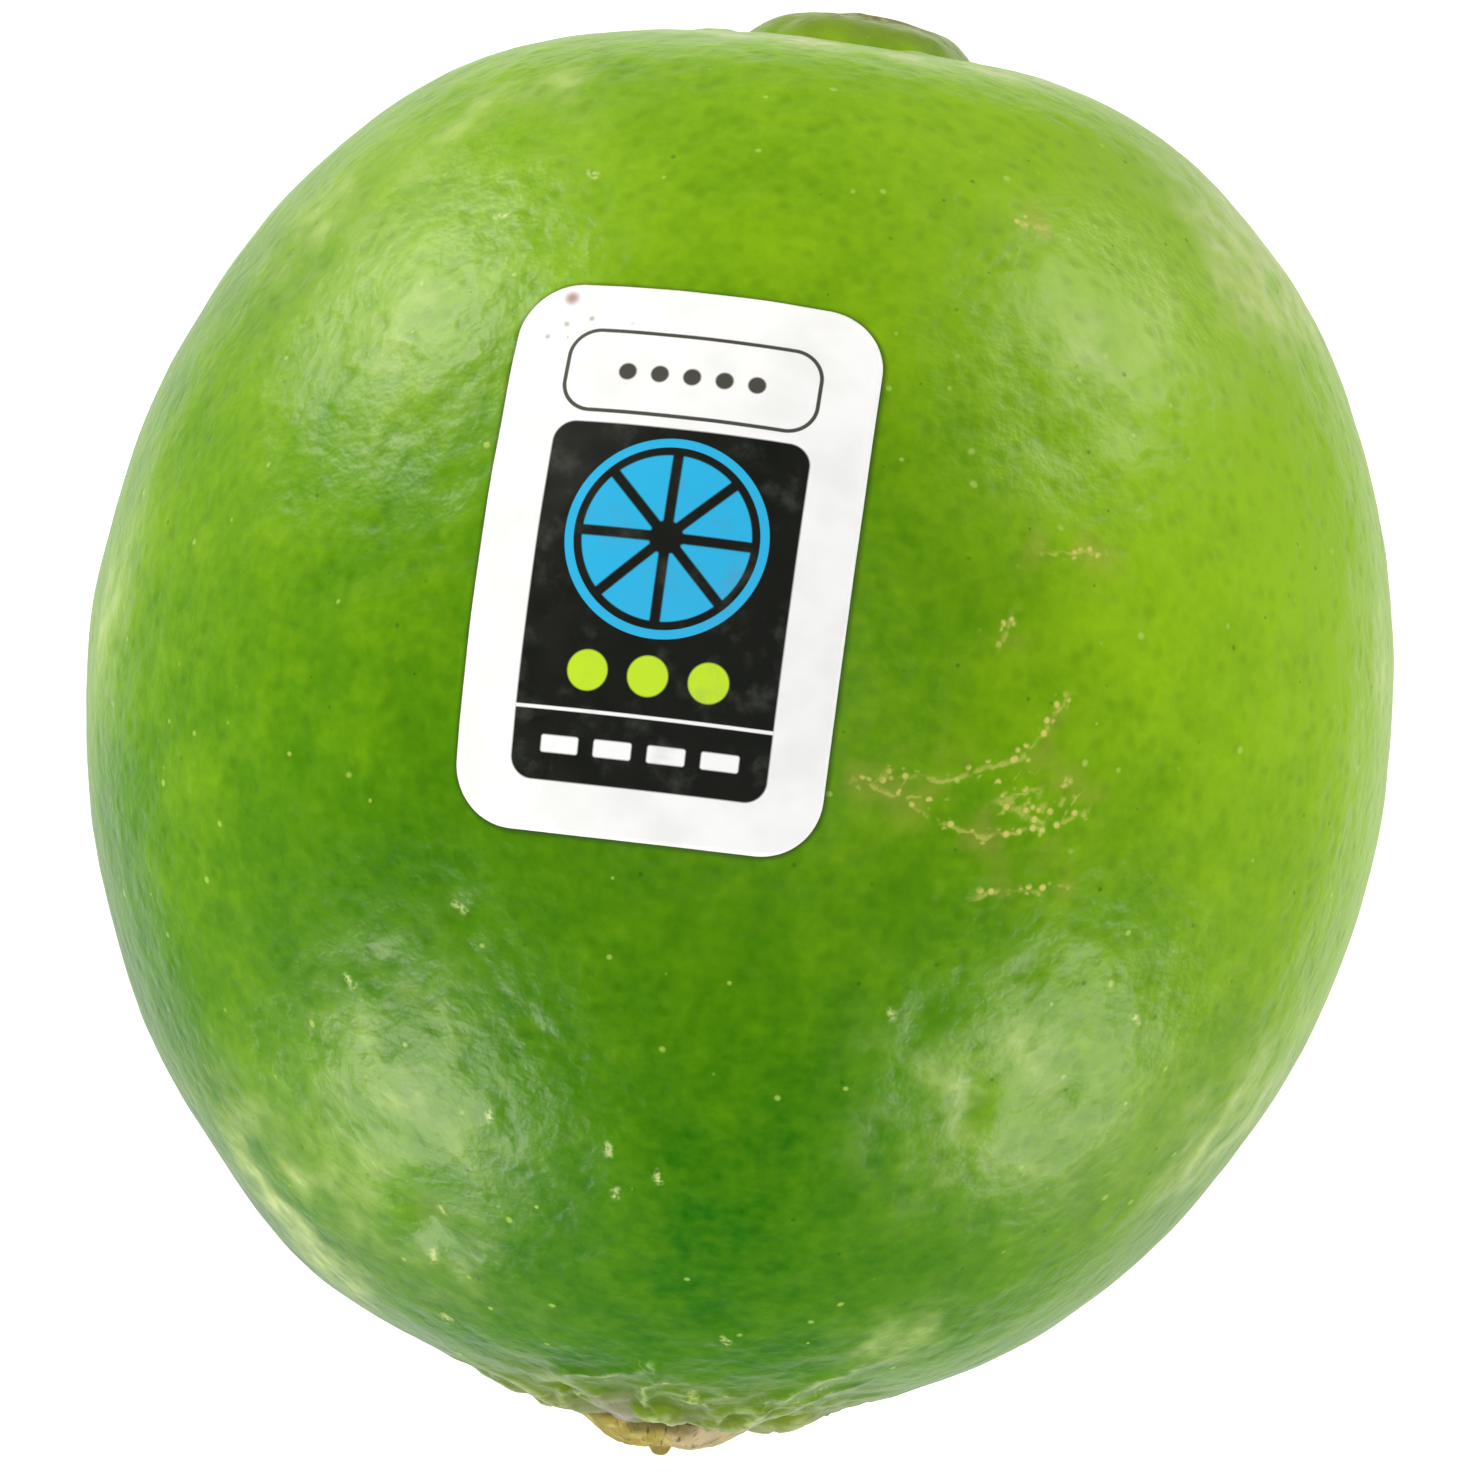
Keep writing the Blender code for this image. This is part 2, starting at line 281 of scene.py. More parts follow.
# Where patterns are gone and where they are full, in millimetres along or from the middle of an end.
STEM_END = (-16, -22)
NIPPLE_END = (20, 24)
STEM_TINT = (12.0, 5.0)
CORK = (5.8, 3.4)
OLIVE = (6.2, 4.0)
STYLE_SCAR = (3.4, 1.0)
STYLE_SCAR_UP = 0.8
BLUSH = (1.6, 0.2)
# The dry ring on the shoulder, in millimetres: its radius and width, and where it shows, upwards.
SHOULDER_RING = (9.6, 1.3)
SHOULDER_ARC = (3.0, 8.0)
# The grey patch over the stem button, in millimetres: its middle across and up, and how far it reaches
# to its sides, upwards and downwards. It fades out between two shares of that.
BRUISE_MIDDLE = (-0.7, 5.0)
BRUISE_SIDE = 1.3
BRUISE_UP = 4.0
BRUISE_DOWN = 2.0
BRUISE = (1.0, 0.3)

# The stem button.
CALYX_RADIUS = 0.0035
CALYX_FACE = 0.03082
CALYX_LEAN = 0.00022
CALYX_EDGE_DROP = 0.00102
CALYX_FLAT_SHARE = 0.55
CALYX_LOBES = 5
CALYX_LOBE_DEPTH = 0.09
CALYX_VALLEY = 0.00012
CALYX_WEAR = ((2, 0.4, 0.040), (11, 0.0, 0.025))
COLLAR_RADIUS = 0.0015
COLLAR_WIDTH = 0.0005
COLLAR_HEIGHT = 0.00018
PIT_RADIUS = 0.0011
PIT_DEPTH = 0.00045
STUB_RADIUS = 0.00055
STUB_TIP = 0.03136
CALYX_FACE_SHARE = 0.44
CALYX_SUNK = 0.00008
# Where the peel's lip hangs over it, and where the button is painted darker as painted shade, in
# millimetres across and up from the fruit's middle.
TUCKED = (((0.2, 3.0), (1.1, 3.1), (2.1, 3.3)),)
CALYX_ROUGHNESS = ((0.9, 0.00010), (2.2, 0.00006), (5.0, 0.00003))

# The label.
LABEL_WIDTH = 0.0149
LABEL_HEIGHT = 0.0225
LABEL_CORNER = 0.0025
LABEL_ACROSS = -0.0038
LABEL_ALONG = 0.00505
LABEL_TURN = math.radians(0.5)
LABEL_COLUMNS = 74
LABEL_ROWS = 112
LABEL_MARGIN = 0.0006

# Where the ellipsoid's middle stands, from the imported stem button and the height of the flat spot.
MIDDLE = Vector((0.0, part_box("calyx")[0].y + STUB_TIP, HALF_WIDTH - SPOT_RISE))


def from_screen(red, green, blue):
    """Linear values of a colour as a colour picker reads it off a screen, each from 0 to 255."""
    shares = [value / 255 for value in (red, green, blue)]
    return tuple(s / 12.92 if s <= 0.04045 else ((s + 0.055) / 1.055) ** 2.4 for s in shares)


def bump(distance, radius):
    """A smooth hill, 1 at its middle and 0 from its radius outwards."""
    return np.clip(1 - (distance / radius) ** 2, 0, None) ** 2


def ring_hill(distance, radius, width):
    """A ridge of height 1 that runs round at one radius."""
    return np.exp(-(((distance - radius) / width) ** 2))


def ease(value, low, high):
    """0 below low, 1 above high, and a smooth step between them. Low may be the higher one."""
    share = np.clip((value - low) / (high - low), 0, 1)
    return share * share * (3 - 2 * share)


def half_lengths(along):
    return np.where(along > 0, NIPPLE_HALF, STEM_HALF)


def half_sizes(directions):
    """The ellipsoid's half sizes towards each direction."""
    halves = np.full_like(directions, HALF_WIDTH)
    halves[:, 1] = half_lengths(directions[:, 1])
    return halves


def ellipsoid_points(directions):
    return directions * half_sizes(directions)


def outward(directions):
    """The ellipsoid's outward normals."""
    normals = directions / half_sizes(directions)
    return normals / np.linalg.norm(normals, axis=1, keepdims=True)


def upper_directions(across, along):
    """The directions of places on the upper side, given as distances across and along."""
    right = np.asarray(across) / HALF_WIDTH
    forward = np.asarray(along) / half_lengths(np.asarray(along))
    height = np.sqrt(np.clip(1 - right**2 - forward**2, 0, None))
    return np.stack([right, forward, height], axis=-1)


def nipple_rise(x, z):
    """How far the peel stands out of the ellipsoid at the nipple end, along Y."""
    from_nipple = np.hypot(x - NIPPLE_ACROSS, z)
    dome = np.clip(1 - (from_nipple / NIPPLE_RADIUS) ** 2, 0, None) ** NIPPLE_FULLNESS
    groove = ring_hill(from_nipple, NIPPLE_RADIUS, GROOVE_WIDTH)
    drop = SHOULDER_DROP * bump(np.hypot(x - SHOULDER_ACROSS, z), SHOULDER_RADIUS)
    return NIPPLE_HEIGHT * dome - GROOVE_DEPTH * groove - drop


def stem_rise(x, z):
    """How far the peel stands out of the ellipsoid at the stem end, along -Y."""
    away = np.hypot(x - STEM_ACROSS, z)
    around = np.arctan2(z, x - STEM_ACROSS)
    lip = LIP_RISE * (1 + LIP_LEAN * np.cos(around)) * ring_hill(away, LIP_RADIUS, LIP_WIDTH)
    cup = CUP_DEPTH * np.exp(-((away / CUP_RADIUS) ** 2))
    pleat = ((1 + np.cos(FURROWS * around + FURROW_SWAY * np.sin(2 * around + 1))) / 2) ** 2
    strength = 1 - FURROW_FADE + FURROW_FADE * np.sin(3 * around + 0.7)
    furrows = FURROW_DEPTH * pleat * strength * ring_hill(away, FURROW_RADIUS, FURROW_REACH)
    return lip - cup - furrows


def hills():
    """Every swelling and dent as its middle, its radius in metres and its height in millimetres."""
    found = on_the_ellipsoid(SWELLINGS)
    found += [(middle, radius, -depth) for middle, radius, depth in on_the_ellipsoid(DENTS_ABOVE)]
    draw = random.Random(DENT_SEED)
    for _ in range(DENTS_BELOW):
        around = draw.uniform(*DENT_AROUND)
        along = draw.uniform(*DENT_ALONG)
        flat = math.sqrt(1 - along**2)
        direction = np.array([[flat * math.cos(around), along, flat * math.sin(around)]])
        radius = draw.uniform(*DENT_RADIUS) * MM
        found.append((ellipsoid_points(direction)[0], radius, -draw.uniform(*DENT_DEPTH)))
    return found


def on_the_ellipsoid(listed):
    """The rows of a table with their middles in space and their radii in metres."""
    found = []
    for across, along, radius, height in listed:
        middle = ellipsoid_points(upper_directions([across * MM], [along * MM]))[0]
        found.append((middle, radius * MM, height))
    return found


def small_marks():
    """The listed marks and the scattered dimples, in the same way."""
    found = [(middle, radius, -depth) for middle, radius, depth in on_the_ellipsoid(MARKS)]
    draw = random.Random(DIMPLE_SEED)
    for _ in range(DIMPLES):
        direction = np.array([[draw.gauss(0, 1), draw.gauss(0, 1), draw.gauss(0, 1)]])
        direction /= np.linalg.norm(direction)
        radius = draw.uniform(*DIMPLE_RADIUS) * MM
        found.append((ellipsoid_points(direction)[0], radius, -draw.uniform(*DIMPLE_DEPTH)))
    return found


def raised(places, found):
    """The summed height of a list of hills at each place."""
    rise = np.zeros(len(places))
    for middle, radius, height in found:
        gap = places - middle
        squares = np.einsum("ij,ij->i", gap, gap)
        near = squares < (3 * radius) ** 2
        rise[near] += height * np.exp(-squares[near] / radius**2)
    return rise


def noisy(places, octaves):
    """Summed noise at each place, from pairs of how many to a unit of length and how high."""
    return np.array(
        [sum(high * noise.noise(Vector(place * count)) for count, high in octaves) for place in places]
    )


def nearest_line(points, chains, reach):
    """For flat points, the distance to the nearest line, the distance to one side of it, and a mask.

    The lines join the points of each chain. The mask is 1 along a line and fades out past its ends
    and at a reach to its sides.
    """
    nearest = np.full(len(points), 99.0)
    side = np.full(len(points), 99.0)
    mask = np.zeros(len(points))
    for start, end in (pair for chain in chains for pair in zip(chain, chain[1:])):
        line = np.subtract(end, start)
        length = np.hypot(*line)
        away = points - start
        across = away @ np.array([-line[1], line[0]]) / length
        share = away @ line / length
        past = np.maximum(-share, share - length)
        gap = np.hypot(across, np.clip(past, 0, None))
        closer = gap < nearest
        nearest = np.where(closer, gap, nearest)
        side = np.where(closer, across, side)
        mask = np.where(closer, ease(past, 0.45, 0.05), mask)
    return nearest, side, mask * ease(nearest, reach, reach * 0.6)


def shaken(points, places, octaves):
    """Flat points moved about by noise, so that lines drawn through them waver."""
    return points + np.stack([noisy(places / MM + shift, octaves) for shift in (0, 50)], axis=1)


def puckers(places):
    """The puckers round the stem button, from -1 to 1, and its folds as crests, side and mask."""
    near = places[:, 1] < -0.7 * STEM_HALF
    stem_side = ease(places[near, 1] / STEM_HALF, -0.75, -0.93)
    x, z = places[near, 0], places[near, 2]
    around = np.arctan2(z, x - STEM_ACROSS)
    away = np.hypot(x - STEM_ACROSS, z)
    total = np.zeros(len(x))
    for count, along, share in WRINKLES:
        drawn = np.stack([count * np.cos(around), count * np.sin(around), along * away / MM], axis=1)
        swayed = [noisy(drawn * 0.7 + shift, ((1.0, 1.0),)) for shift in (0, 30, 60)]
        drawn += 0.5 * np.stack(swayed, axis=1)
        total += share * (1 - 4.5 * np.abs(noisy(drawn, ((1.0, 1.0),))))
    lines = shaken(np.stack([x, z], axis=1) / MM, places[near], FOLD_SHAKE)
    gap, side, mask = nearest_line(lines, FOLDS, FOLD_REACH)
    found = np.zeros((4, len(places)))
    found[0, near] = np.clip(total, -1, 1) * ring_hill(away, WRINKLE_RADIUS, WRINKLE_REACH) * stem_side
    found[1, near] = np.exp(-((gap / FOLD_WIDTH) ** 2)) * stem_side
    found[2, near] = side
    found[3, near] = mask * stem_side
    return found


def fine_relief(directions, places, pucker, fold):
    """What the dressed peel adds to the solid's form, at each place."""
    relief = noisy(places / MM, RIPPLES) + MM * raised(places, small_marks())
    relief += WRINKLE_DEPTH * pucker + FOLD_HEIGHT * fold
    tip = directions[:, 1] > 0.93
    lumps = noisy(places[tip] / MM, NIPPLE_LUMPS)
    relief[tip] += lumps * ease(directions[tip, 1], 0.95, 0.985)
    return relief


def peel_points(directions, off=0.0):
    """Points of the peel in some directions from the ellipsoid's middle, raised off it by a distance."""
    places = ellipsoid_points(directions)
    points = places.copy()
    upper = directions[:, 1] > 0
    points[upper, 1] += nipple_rise(places[upper, 0], places[upper, 2])
    points[~upper, 1] -= stem_rise(places[~upper, 0], places[~upper, 2])
    rise = noisy(directions, WAVES) + MM * raised(places, hills()) + off
    points += outward(directions) * rise[:, None]
    below = points[:, 2] < 0
    flattened = FLATTENED_RISE * bump(np.hypot(points[:, 0], points[:, 1]), FLATTENED_RADIUS)
    points[:, 2] += np.where(below, flattened, 0)
    # The flat spot: a soft floor, so that its rim is rounded.
    over = (points[:, 2] + MIDDLE.z) / SPOT_SOFTNESS
    points[:, 2] = SPOT_SOFTNESS * np.logaddexp(over, 0) - MIDDLE.z
    return points + np.array(MIDDLE)


def label_axes():
    """The direction of the label's middle, and the directions across and along it there."""
    middle = upper_directions(LABEL_ACROSS, LABEL_ALONG)
    right = np.array([1.0, 0, 0]) - middle * middle[0]
    right /= np.linalg.norm(right)
    return middle, right, np.cross(middle, right)


def label_place(directions):
    """Where directions fall on the label laid flat, as distances across and along it."""
    middle, right, up = label_axes()
    angle = np.arccos(np.clip(directions @ middle, -1, 1))
    spread = angle / np.maximum(np.sin(angle), 1e-9)
    across = (directions @ right) * spread * HALF_WIDTH
    along = (directions @ up) * spread * NIPPLE_HALF
    turn_back = np.array([math.cos(LABEL_TURN), math.sin(LABEL_TURN)])
    return across * turn_back[0] + along * turn_back[1], along * turn_back[0] - across * turn_back[1]


def label_directions(across, along):
    """Wraps places of the flat label onto the fruit, as directions from the fruit's middle."""
    turned_x = across * math.cos(LABEL_TURN) - along * math.sin(LABEL_TURN)
    turned_y = across * math.sin(LABEL_TURN) + along * math.cos(LABEL_TURN)
    middle, right, up = label_axes()
    step = np.outer(turned_x / HALF_WIDTH, right) + np.outer(turned_y / NIPPLE_HALF, up)
    angle = np.linalg.norm(step, axis=1, keepdims=True)
    return middle * np.cos(angle) + step * np.sinc(angle / math.pi)


def label_distance(across, along):
    """Signed distance from the label's outline, below 0 on the label."""
    past_x = np.abs(across) - (LABEL_WIDTH / 2 - LABEL_CORNER)
    past_y = np.abs(along) - (LABEL_HEIGHT / 2 - LABEL_CORNER)
    outside = np.hypot(np.clip(past_x, 0, None), np.clip(past_y, 0, None))
    return outside + np.clip(np.maximum(past_x, past_y), None, 0) - LABEL_CORNER


def mesh_points(mesh):
    points = np.empty(len(mesh.vertices) * 3)
    mesh.vertices.foreach_get("co", points)
    return points.reshape(-1, 3)


def set_points(mesh, points):
    mesh.vertices.foreach_set("co", points.ravel())
    mesh.update()


def keep_values(mesh, name, values):
    """Stores one number for each point of a mesh, which a material can read."""
    layer = mesh.attributes.new(name, "FLOAT", "POINT")
    layer.data.foreach_set("value", values.astype(np.float32))


def as_piece(name, mesh, finish, node):
    """Puts a finished mesh in the scene, smooth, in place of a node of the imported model."""
    mesh.materials.append(finish)
    mesh.shade_smooth()
    piece = bpy.data.objects.new(name, mesh)
    bpy.context.scene.collection.objects.link(piece)
    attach(piece, "root")
    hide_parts(node)
    return piece


def mesh_of(name, bm):
    mesh = bpy.data.meshes.new(name)
    bm.to_mesh(mesh)
    bm.free()
    return mesh


def peel_directions(mesh):
    """Turns a cube's even grid into directions, gathered towards the fruit's two ends."""
    grid = np.tan(mesh_points(mesh) * math.pi / 4)
    grid /= np.linalg.norm(grid, axis=1, keepdims=True)
    polar = np.arccos(np.clip(grid[:, 1], -1, 1))
    gathered = polar - RING_GATHER * np.sin(2 * polar) / 2
    stretch = np.sin(gathered) / np.maximum(np.sin(polar), 1e-9)
    return np.stack([grid[:, 0] * stretch, np.cos(gathered), grid[:, 2] * stretch], axis=1)


def peel_values(directions, places, pucker, fold_side, fold_mask):
    """The broad patterns of the peel, each as one number for each point."""
    x, y, z = places.T / MM
    spots = places / MM
    from_stem = np.hypot(x - STEM_ACROSS / MM, z)
    from_tip = np.hypot(x - NIPPLE_ACROSS / MM, z)
    stem_end = ease(y, *STEM_END)
    nipple_end = ease(y, *NIPPLE_END)
    ragged = noisy(spots, RAGGED)
    across, along = directions[:, 0], directions[:, 1]
    # Partly painted light: paler towards the sides and the nipple end, deepest in the middle.
    tone_and_painted_light = TONE_AND_PAINTED_LIGHT[0] + across * TONE_AND_PAINTED_LIGHT[1] + along * TONE_AND_PAINTED_LIGHT[2] + across**2 * TONE_AND_PAINTED_LIGHT[3] + along**2 * TONE_AND_PAINTED_LIGHT[4]
    tone_and_painted_light += raised(places, on_the_ellipsoid(TONE_PATCHES))
    above = z > 0
    from_scar, scar_side, fleck_side = (np.full(len(places), FAR) for _ in range(3))
    scar_mask, fleck_mask = np.zeros(len(places)), np.zeros(len(places))
    flat = places[above, :2] / MM
    lines = shaken(flat, places[above], SCAR_SHAKE)
    from_scar[above], scar_side[above], scar_mask[above] = nearest_line(lines, SCARS, SCAR_REACH)
    _, fleck_side[above], fleck_mask[above] = nearest_line(flat, FLECKS, FLECK_REACH)
    height = z - BRUISE_MIDDLE[1]
    height /= np.where(height > 0, BRUISE_UP, BRUISE_DOWN)
    bruise = np.hypot((x - BRUISE_MIDDLE[0]) / BRUISE_SIDE, height)
    # Partly painted highlight: pale patches where the softboxes glare and along the rims, as well as wax
    # bloom.
    bloom_and_glare = raised(places, on_the_ellipsoid(BLOOM_AND_GLARE_PATCHES)) * (0.95 + noisy(spots, BLOOM_AND_GLARE_NOISE))
    shoulder = ring_hill(from_tip, *SHOULDER_RING) * ease(noisy(spots, SHOULDER_NOISE), -0.5, 0.4)
    shoulder *= 0.25 + 0.75 * ease(z, *SHOULDER_ARC)
    from_style = np.hypot(x - NIPPLE_ACROSS / MM, z - STYLE_SCAR_UP)
    return {
        "tone_and_painted_light": tone_and_painted_light + noisy(spots, TONE_NOISE),
        "scar_side": np.clip(scar_side, -2, 2),
        "scar_mask": scar_mask,
        "fleck_side": np.clip(fleck_side, -2, 2),
        "fleck_mask": fleck_mask,
        "blush": ease(from_scar, *BLUSH) * ease(noisy(spots, BLUSH_NOISE), -0.1, 0.5),
        "bloom_and_glare": np.clip(bloom_and_glare, 0, 4.5),
        "pucker": pucker,
        "fold_side": np.clip(fold_side, -2, 2),
        "fold_mask": fold_mask,
        "cork": ease(from_stem + ragged, *CORK) * stem_end,
        "bruise": ease(bruise + 0.25 * ragged, *BRUISE) * stem_end,
        "stem_tint": ease(from_stem + 0.5 * ragged, *STEM_TINT) * stem_end,
        "olive": ease(from_tip + 0.4 * ragged, *OLIVE) * nipple_end,
        "shoulder_rim": shoulder * nipple_end,
        "style_scar": ease(from_style + 0.9 * ragged, *STYLE_SCAR) * nipple_end,
    }


def make_peel(settings):
    """The peel: a finely divided cube rounded into the fruit, with its pits, dents and puckers."""
    bm = bmesh.new()
    bmesh.ops.create_cube(bm, size=2)
    bmesh.ops.subdivide_edges(bm, edges=bm.edges[:], cuts=settings.cuts, use_grid_fill=True)
    mesh = mesh_of("peel_skin", bm)
    directions = peel_directions(mesh)
    places = ellipsoid_points(directions)
    from_label = label_distance(*label_place(directions))
    from_label[directions[:, 2] < 0] = HALF_WIDTH
    smooth_under_label = ease(from_label, -LABEL_MARGIN, LABEL_MARGIN)
    pucker, fold, fold_side, fold_mask = puckers(places)
    relief = fine_relief(directions, places, pucker, fold) * settings.relief * smooth_under_label
    set_points(mesh, peel_points(directions, relief))
    keep_values(mesh, "from_label", from_label / MM)
    for name, values in peel_values(directions, places, pucker, fold_side, fold_mask).items():
        keep_values(mesh, name, values)
    return mesh


def calyx_lobes(around):
    """1 at the middle of each lobe and -1 in each valley between two; the lobes are unlike in width."""
    return np.cos(CALYX_LOBES * around + 0.9 + 0.5 * np.sin(around))


def calyx_radius(around):
    """The rim of the stem button, with five lobes worn unevenly."""
    wear = sum(share * np.sin(times * around + start) for times, start, share in CALYX_WEAR)
    return CALYX_RADIUS * (1 + CALYX_LOBE_DEPTH * calyx_lobes(around) + wear)


def calyx_face(away, around):
    """How far out the stem button's outer face lies, along -Y."""
    reach = away / calyx_radius(around)
    slope = np.clip((reach - CALYX_FLAT_SHARE) / (1 - CALYX_FLAT_SHARE), 0, None)
    face = CALYX_FACE - CALYX_LEAN * reach * np.cos(around) - CALYX_EDGE_DROP * slope**1.4
    face -= CALYX_VALLEY * (1 - calyx_lobes(around)) * reach**2 / 2
    face += COLLAR_HEIGHT * ring_hill(away, COLLAR_RADIUS, COLLAR_WIDTH)
    face -= PIT_DEPTH * np.exp(-((away / PIT_RADIUS) ** 2))
    return face + (STUB_TIP - face) * np.exp(-((away / STUB_RADIUS) ** 4))


def make_calyx(settings):
    """The stem button: a sphere flattened into a lobed disc, rough and dry, pressed onto the peel."""
    bm = bmesh.new()
    bmesh.ops.create_uvsphere(bm, u_segments=settings.segments, v_segments=settings.rings, radius=1.0)
    mesh = mesh_of("stem_button", bm)
    ball = mesh_points(mesh)
    share = np.arccos(np.clip(ball[:, 2], -1, 1)) / math.pi
    around = np.arctan2(ball[:, 1], ball[:, 0])
    reach = np.minimum(1, np.minimum(share, 1 - share) / CALYX_FACE_SHARE)
    depth = np.clip((share - CALYX_FACE_SHARE) / (1 - 2 * CALYX_FACE_SHARE), 0, 1)
    away = reach * calyx_radius(around)
    x = STEM_ACROSS + away * np.cos(around)
    z = away * np.sin(around)
    height = -np.sqrt(1 - (x / HALF_WIDTH) ** 2 - (z / HALF_WIDTH) ** 2)
    under = peel_points(np.stack([x / HALF_WIDTH, height, z / HALF_WIDTH], axis=1))[:, 1] + CALYX_SUNK
    outer = MIDDLE.y - calyx_face(away, around)
    points = np.stack([x, outer + depth * (under - outer), z + MIDDLE.z], axis=1)
    grain = noisy(points / MM, CALYX_ROUGHNESS) * settings.relief
    worn = np.clip(1 - depth, 0, 1) * ease(away, 0.0002, 0.0009)
    points[:, 1] -= grain * worn
    rim = ease(reach, 0.8, 1.0)
    points[:, 0] += np.cos(around) * grain * rim
    points[:, 2] += np.sin(around) * grain * rim
    set_points(mesh, points)
    hollow = np.exp(-((away / PIT_RADIUS) ** 2)) - np.exp(-((away / STUB_RADIUS) ** 4))
    keep_values(mesh, "hollow", hollow)
    keep_values(mesh, "valley", (1 - calyx_lobes(around)) / 2 * reach**2)
    # Painted shade: darker under the peel's overhanging lip and along the rim, where the button meets the
    # peel.
    tucked = nearest_line(np.stack([x, z], axis=1) / MM, TUCKED, 0.9)[0]
    keep_values(mesh, "painted_shade", ease(tucked, 0.75, 0.25) + 0.6 * ease(reach, 0.93, 1.0))
    return mesh


def rounded(across, along):
    """Moves places of the label's rectangle so that its corners become quarter circles."""
    inner_x = LABEL_WIDTH / 2 - LABEL_CORNER
    inner_y = LABEL_HEIGHT / 2 - LABEL_CORNER
    u = np.clip((np.abs(across) - inner_x) / LABEL_CORNER, 0, 1)
    v = np.clip((np.abs(along) - inner_y) / LABEL_CORNER, 0, 1)
    round_x = np.where(u > 0, inner_x + LABEL_CORNER * u * np.sqrt(1 - v**2 / 2), np.abs(across))
    round_y = np.where(v > 0, inner_y + LABEL_CORNER * v * np.sqrt(1 - u**2 / 2), np.abs(along))
    return np.copysign(round_x, across), np.copysign(round_y, along)


def make_label(settings):
    """The label: a grid with rounded corners laid on the peel, with faint creases and lifted edges."""
    bm = bmesh.new()
    bmesh.ops.create_grid(bm, x_segments=LABEL_COLUMNS, y_segments=LABEL_ROWS, size=0.5)
    mesh = mesh_of("stuck_label", bm)
    grid = mesh_points(mesh)
    across, along = rounded(grid[:, 0] * LABEL_WIDTH, grid[:, 1] * LABEL_HEIGHT)
    flat = np.stack([across, along, np.zeros_like(across)], axis=1) / MM
    edge = ease(label_distance(across, along), -0.0012, 0.0)
    lift = settings.lift * (0.4 + edge * (0.6 + noisy(flat, ((0.35, 1.2),))))
    creases = settings.crease * noisy(flat, ((0.22, 1.0), (0.6, 0.35)))
    height = settings.thickness + np.clip(lift + creases, 0, None)
    set_points(mesh, peel_points(label_directions(across, along), height))
    layer = mesh.uv_layers.new(name="flat_label")
    corners = np.empty(len(mesh.loops), np.int32)
    mesh.loops.foreach_get("vertex_index", corners)
    shares = np.stack([across / LABEL_WIDTH + 0.5, along / LABEL_HEIGHT + 0.5], axis=1)
    layer.data.foreach_set("uv", shares[corners].ravel())
    return mesh


class Graph:
    """Adds nodes to one node tree. Each call gives the new node's output, to pass on to the next."""

    def __init__(self, tree):
        self.tree = tree

    def add(self, kind, inputs=(), out=0, **choices):
        node = self.tree.nodes.new(kind)
        for name, choice in choices.items():
            setattr(node, name, choice)
        for place, value in dict(inputs).items():
            if isinstance(value, bpy.types.NodeSocket):
                self.tree.links.new(value, node.inputs[place])
            else:
                node.inputs[place].default_value = value
        return node.outputs[out]

    def math(self, operation, *values, clamp=False):
        return self.add("ShaderNodeMath", enumerate(values), operation=operation, use_clamp=clamp)

    def vector(self, operation, *values, out=0):
        return self.add("ShaderNodeVectorMath", enumerate(values), out, operation=operation)

    def noise(self, place, count, detail=2.0, roughness=0.5, out="Fac"):
        inputs = {"Vector": place, "Scale": count, "Detail": detail, "Roughness": roughness}
        return self.add("ShaderNodeTexNoise", inputs, out)

    def cells(self, place, count):
        return self.add("ShaderNodeTexVoronoi", {"Vector": place, "Scale": count}, "Distance")

    def ramp(self, value, low, high, least=0.0, most=1.0, smooth=True):
        inputs = {"Value": value, "From Min": low, "From Max": high, "To Min": least, "To Max": most}
        kind = "SMOOTHSTEP" if smooth else "LINEAR"
        return self.add("ShaderNodeMapRange", inputs, interpolation_type=kind)

    def times(self, *values):
        """The product of two or more values."""
        product = values[0]
        for value in values[1:]:
            product = self.math("MULTIPLY", product, value)
        return product

    def mix(self, share, first, second):
        first, second = (c if isinstance(c, bpy.types.NodeSocket) else (*c, 1) for c in (first, second))
        return self.add("ShaderNodeMix", {0: share, 6: first, 7: second}, 2, data_type="RGBA")

    def cover(self, under, mask, share, over):
        """A colour laid over another where a mask is 1, with a share of its full strength."""
        return self.mix(self.times(mask, share), under, over)

    def split(self, place, axis):
        return self.add("ShaderNodeSeparateXYZ", {0: place}, axis)

    def stored(self, name):
        return self.add("ShaderNodeAttribute", (), "Fac", attribute_name=name)

    def group(self, tree, inputs):
        return self.add("ShaderNodeGroup", inputs, node_tree=tree)


def new_group(name, inputs, outputs):
    """A node group with named inputs and outputs, as a graph with its two end nodes."""
    tree = bpy.data.node_groups.new(name, "ShaderNodeTree")
    for title, kind in inputs:
        tree.interface.new_socket(title, in_out="INPUT", socket_type=kind)
    for title, kind in outputs:
        tree.interface.new_socket(title, in_out="OUTPUT", socket_type=kind)
    return Graph(tree), tree.nodes.new("NodeGroupInput").outputs, tree.nodes.new("NodeGroupOutput").inputs


def specks_group():
    """Small round specks, of which only a share of the cells has one."""
    numbers = ("Count", "Share", "Size")
    inputs = (("Place", "NodeSocketVector"), *((name, "NodeSocketFloat") for name in numbers))
    graph, given, ends = new_group("Specks", inputs, (("Mask", "NodeSocketFloat"),))
    distance = graph.cells(given["Place"], given["Count"])
    draw = distance.node.outputs["Color"]
    chosen = graph.math("LESS_THAN", graph.split(draw, 0), given["Share"])
    size = graph.times(given["Size"], graph.ramp(graph.split(draw, 1), 0, 1, 0.6, 1.2, False))
    mask = graph.ramp(graph.math("DIVIDE", distance, size), 0.4, 1.0, 1.0, 0.0)
    graph.tree.links.new(graph.times(mask, chosen), ends["Mask"])
    return graph.tree


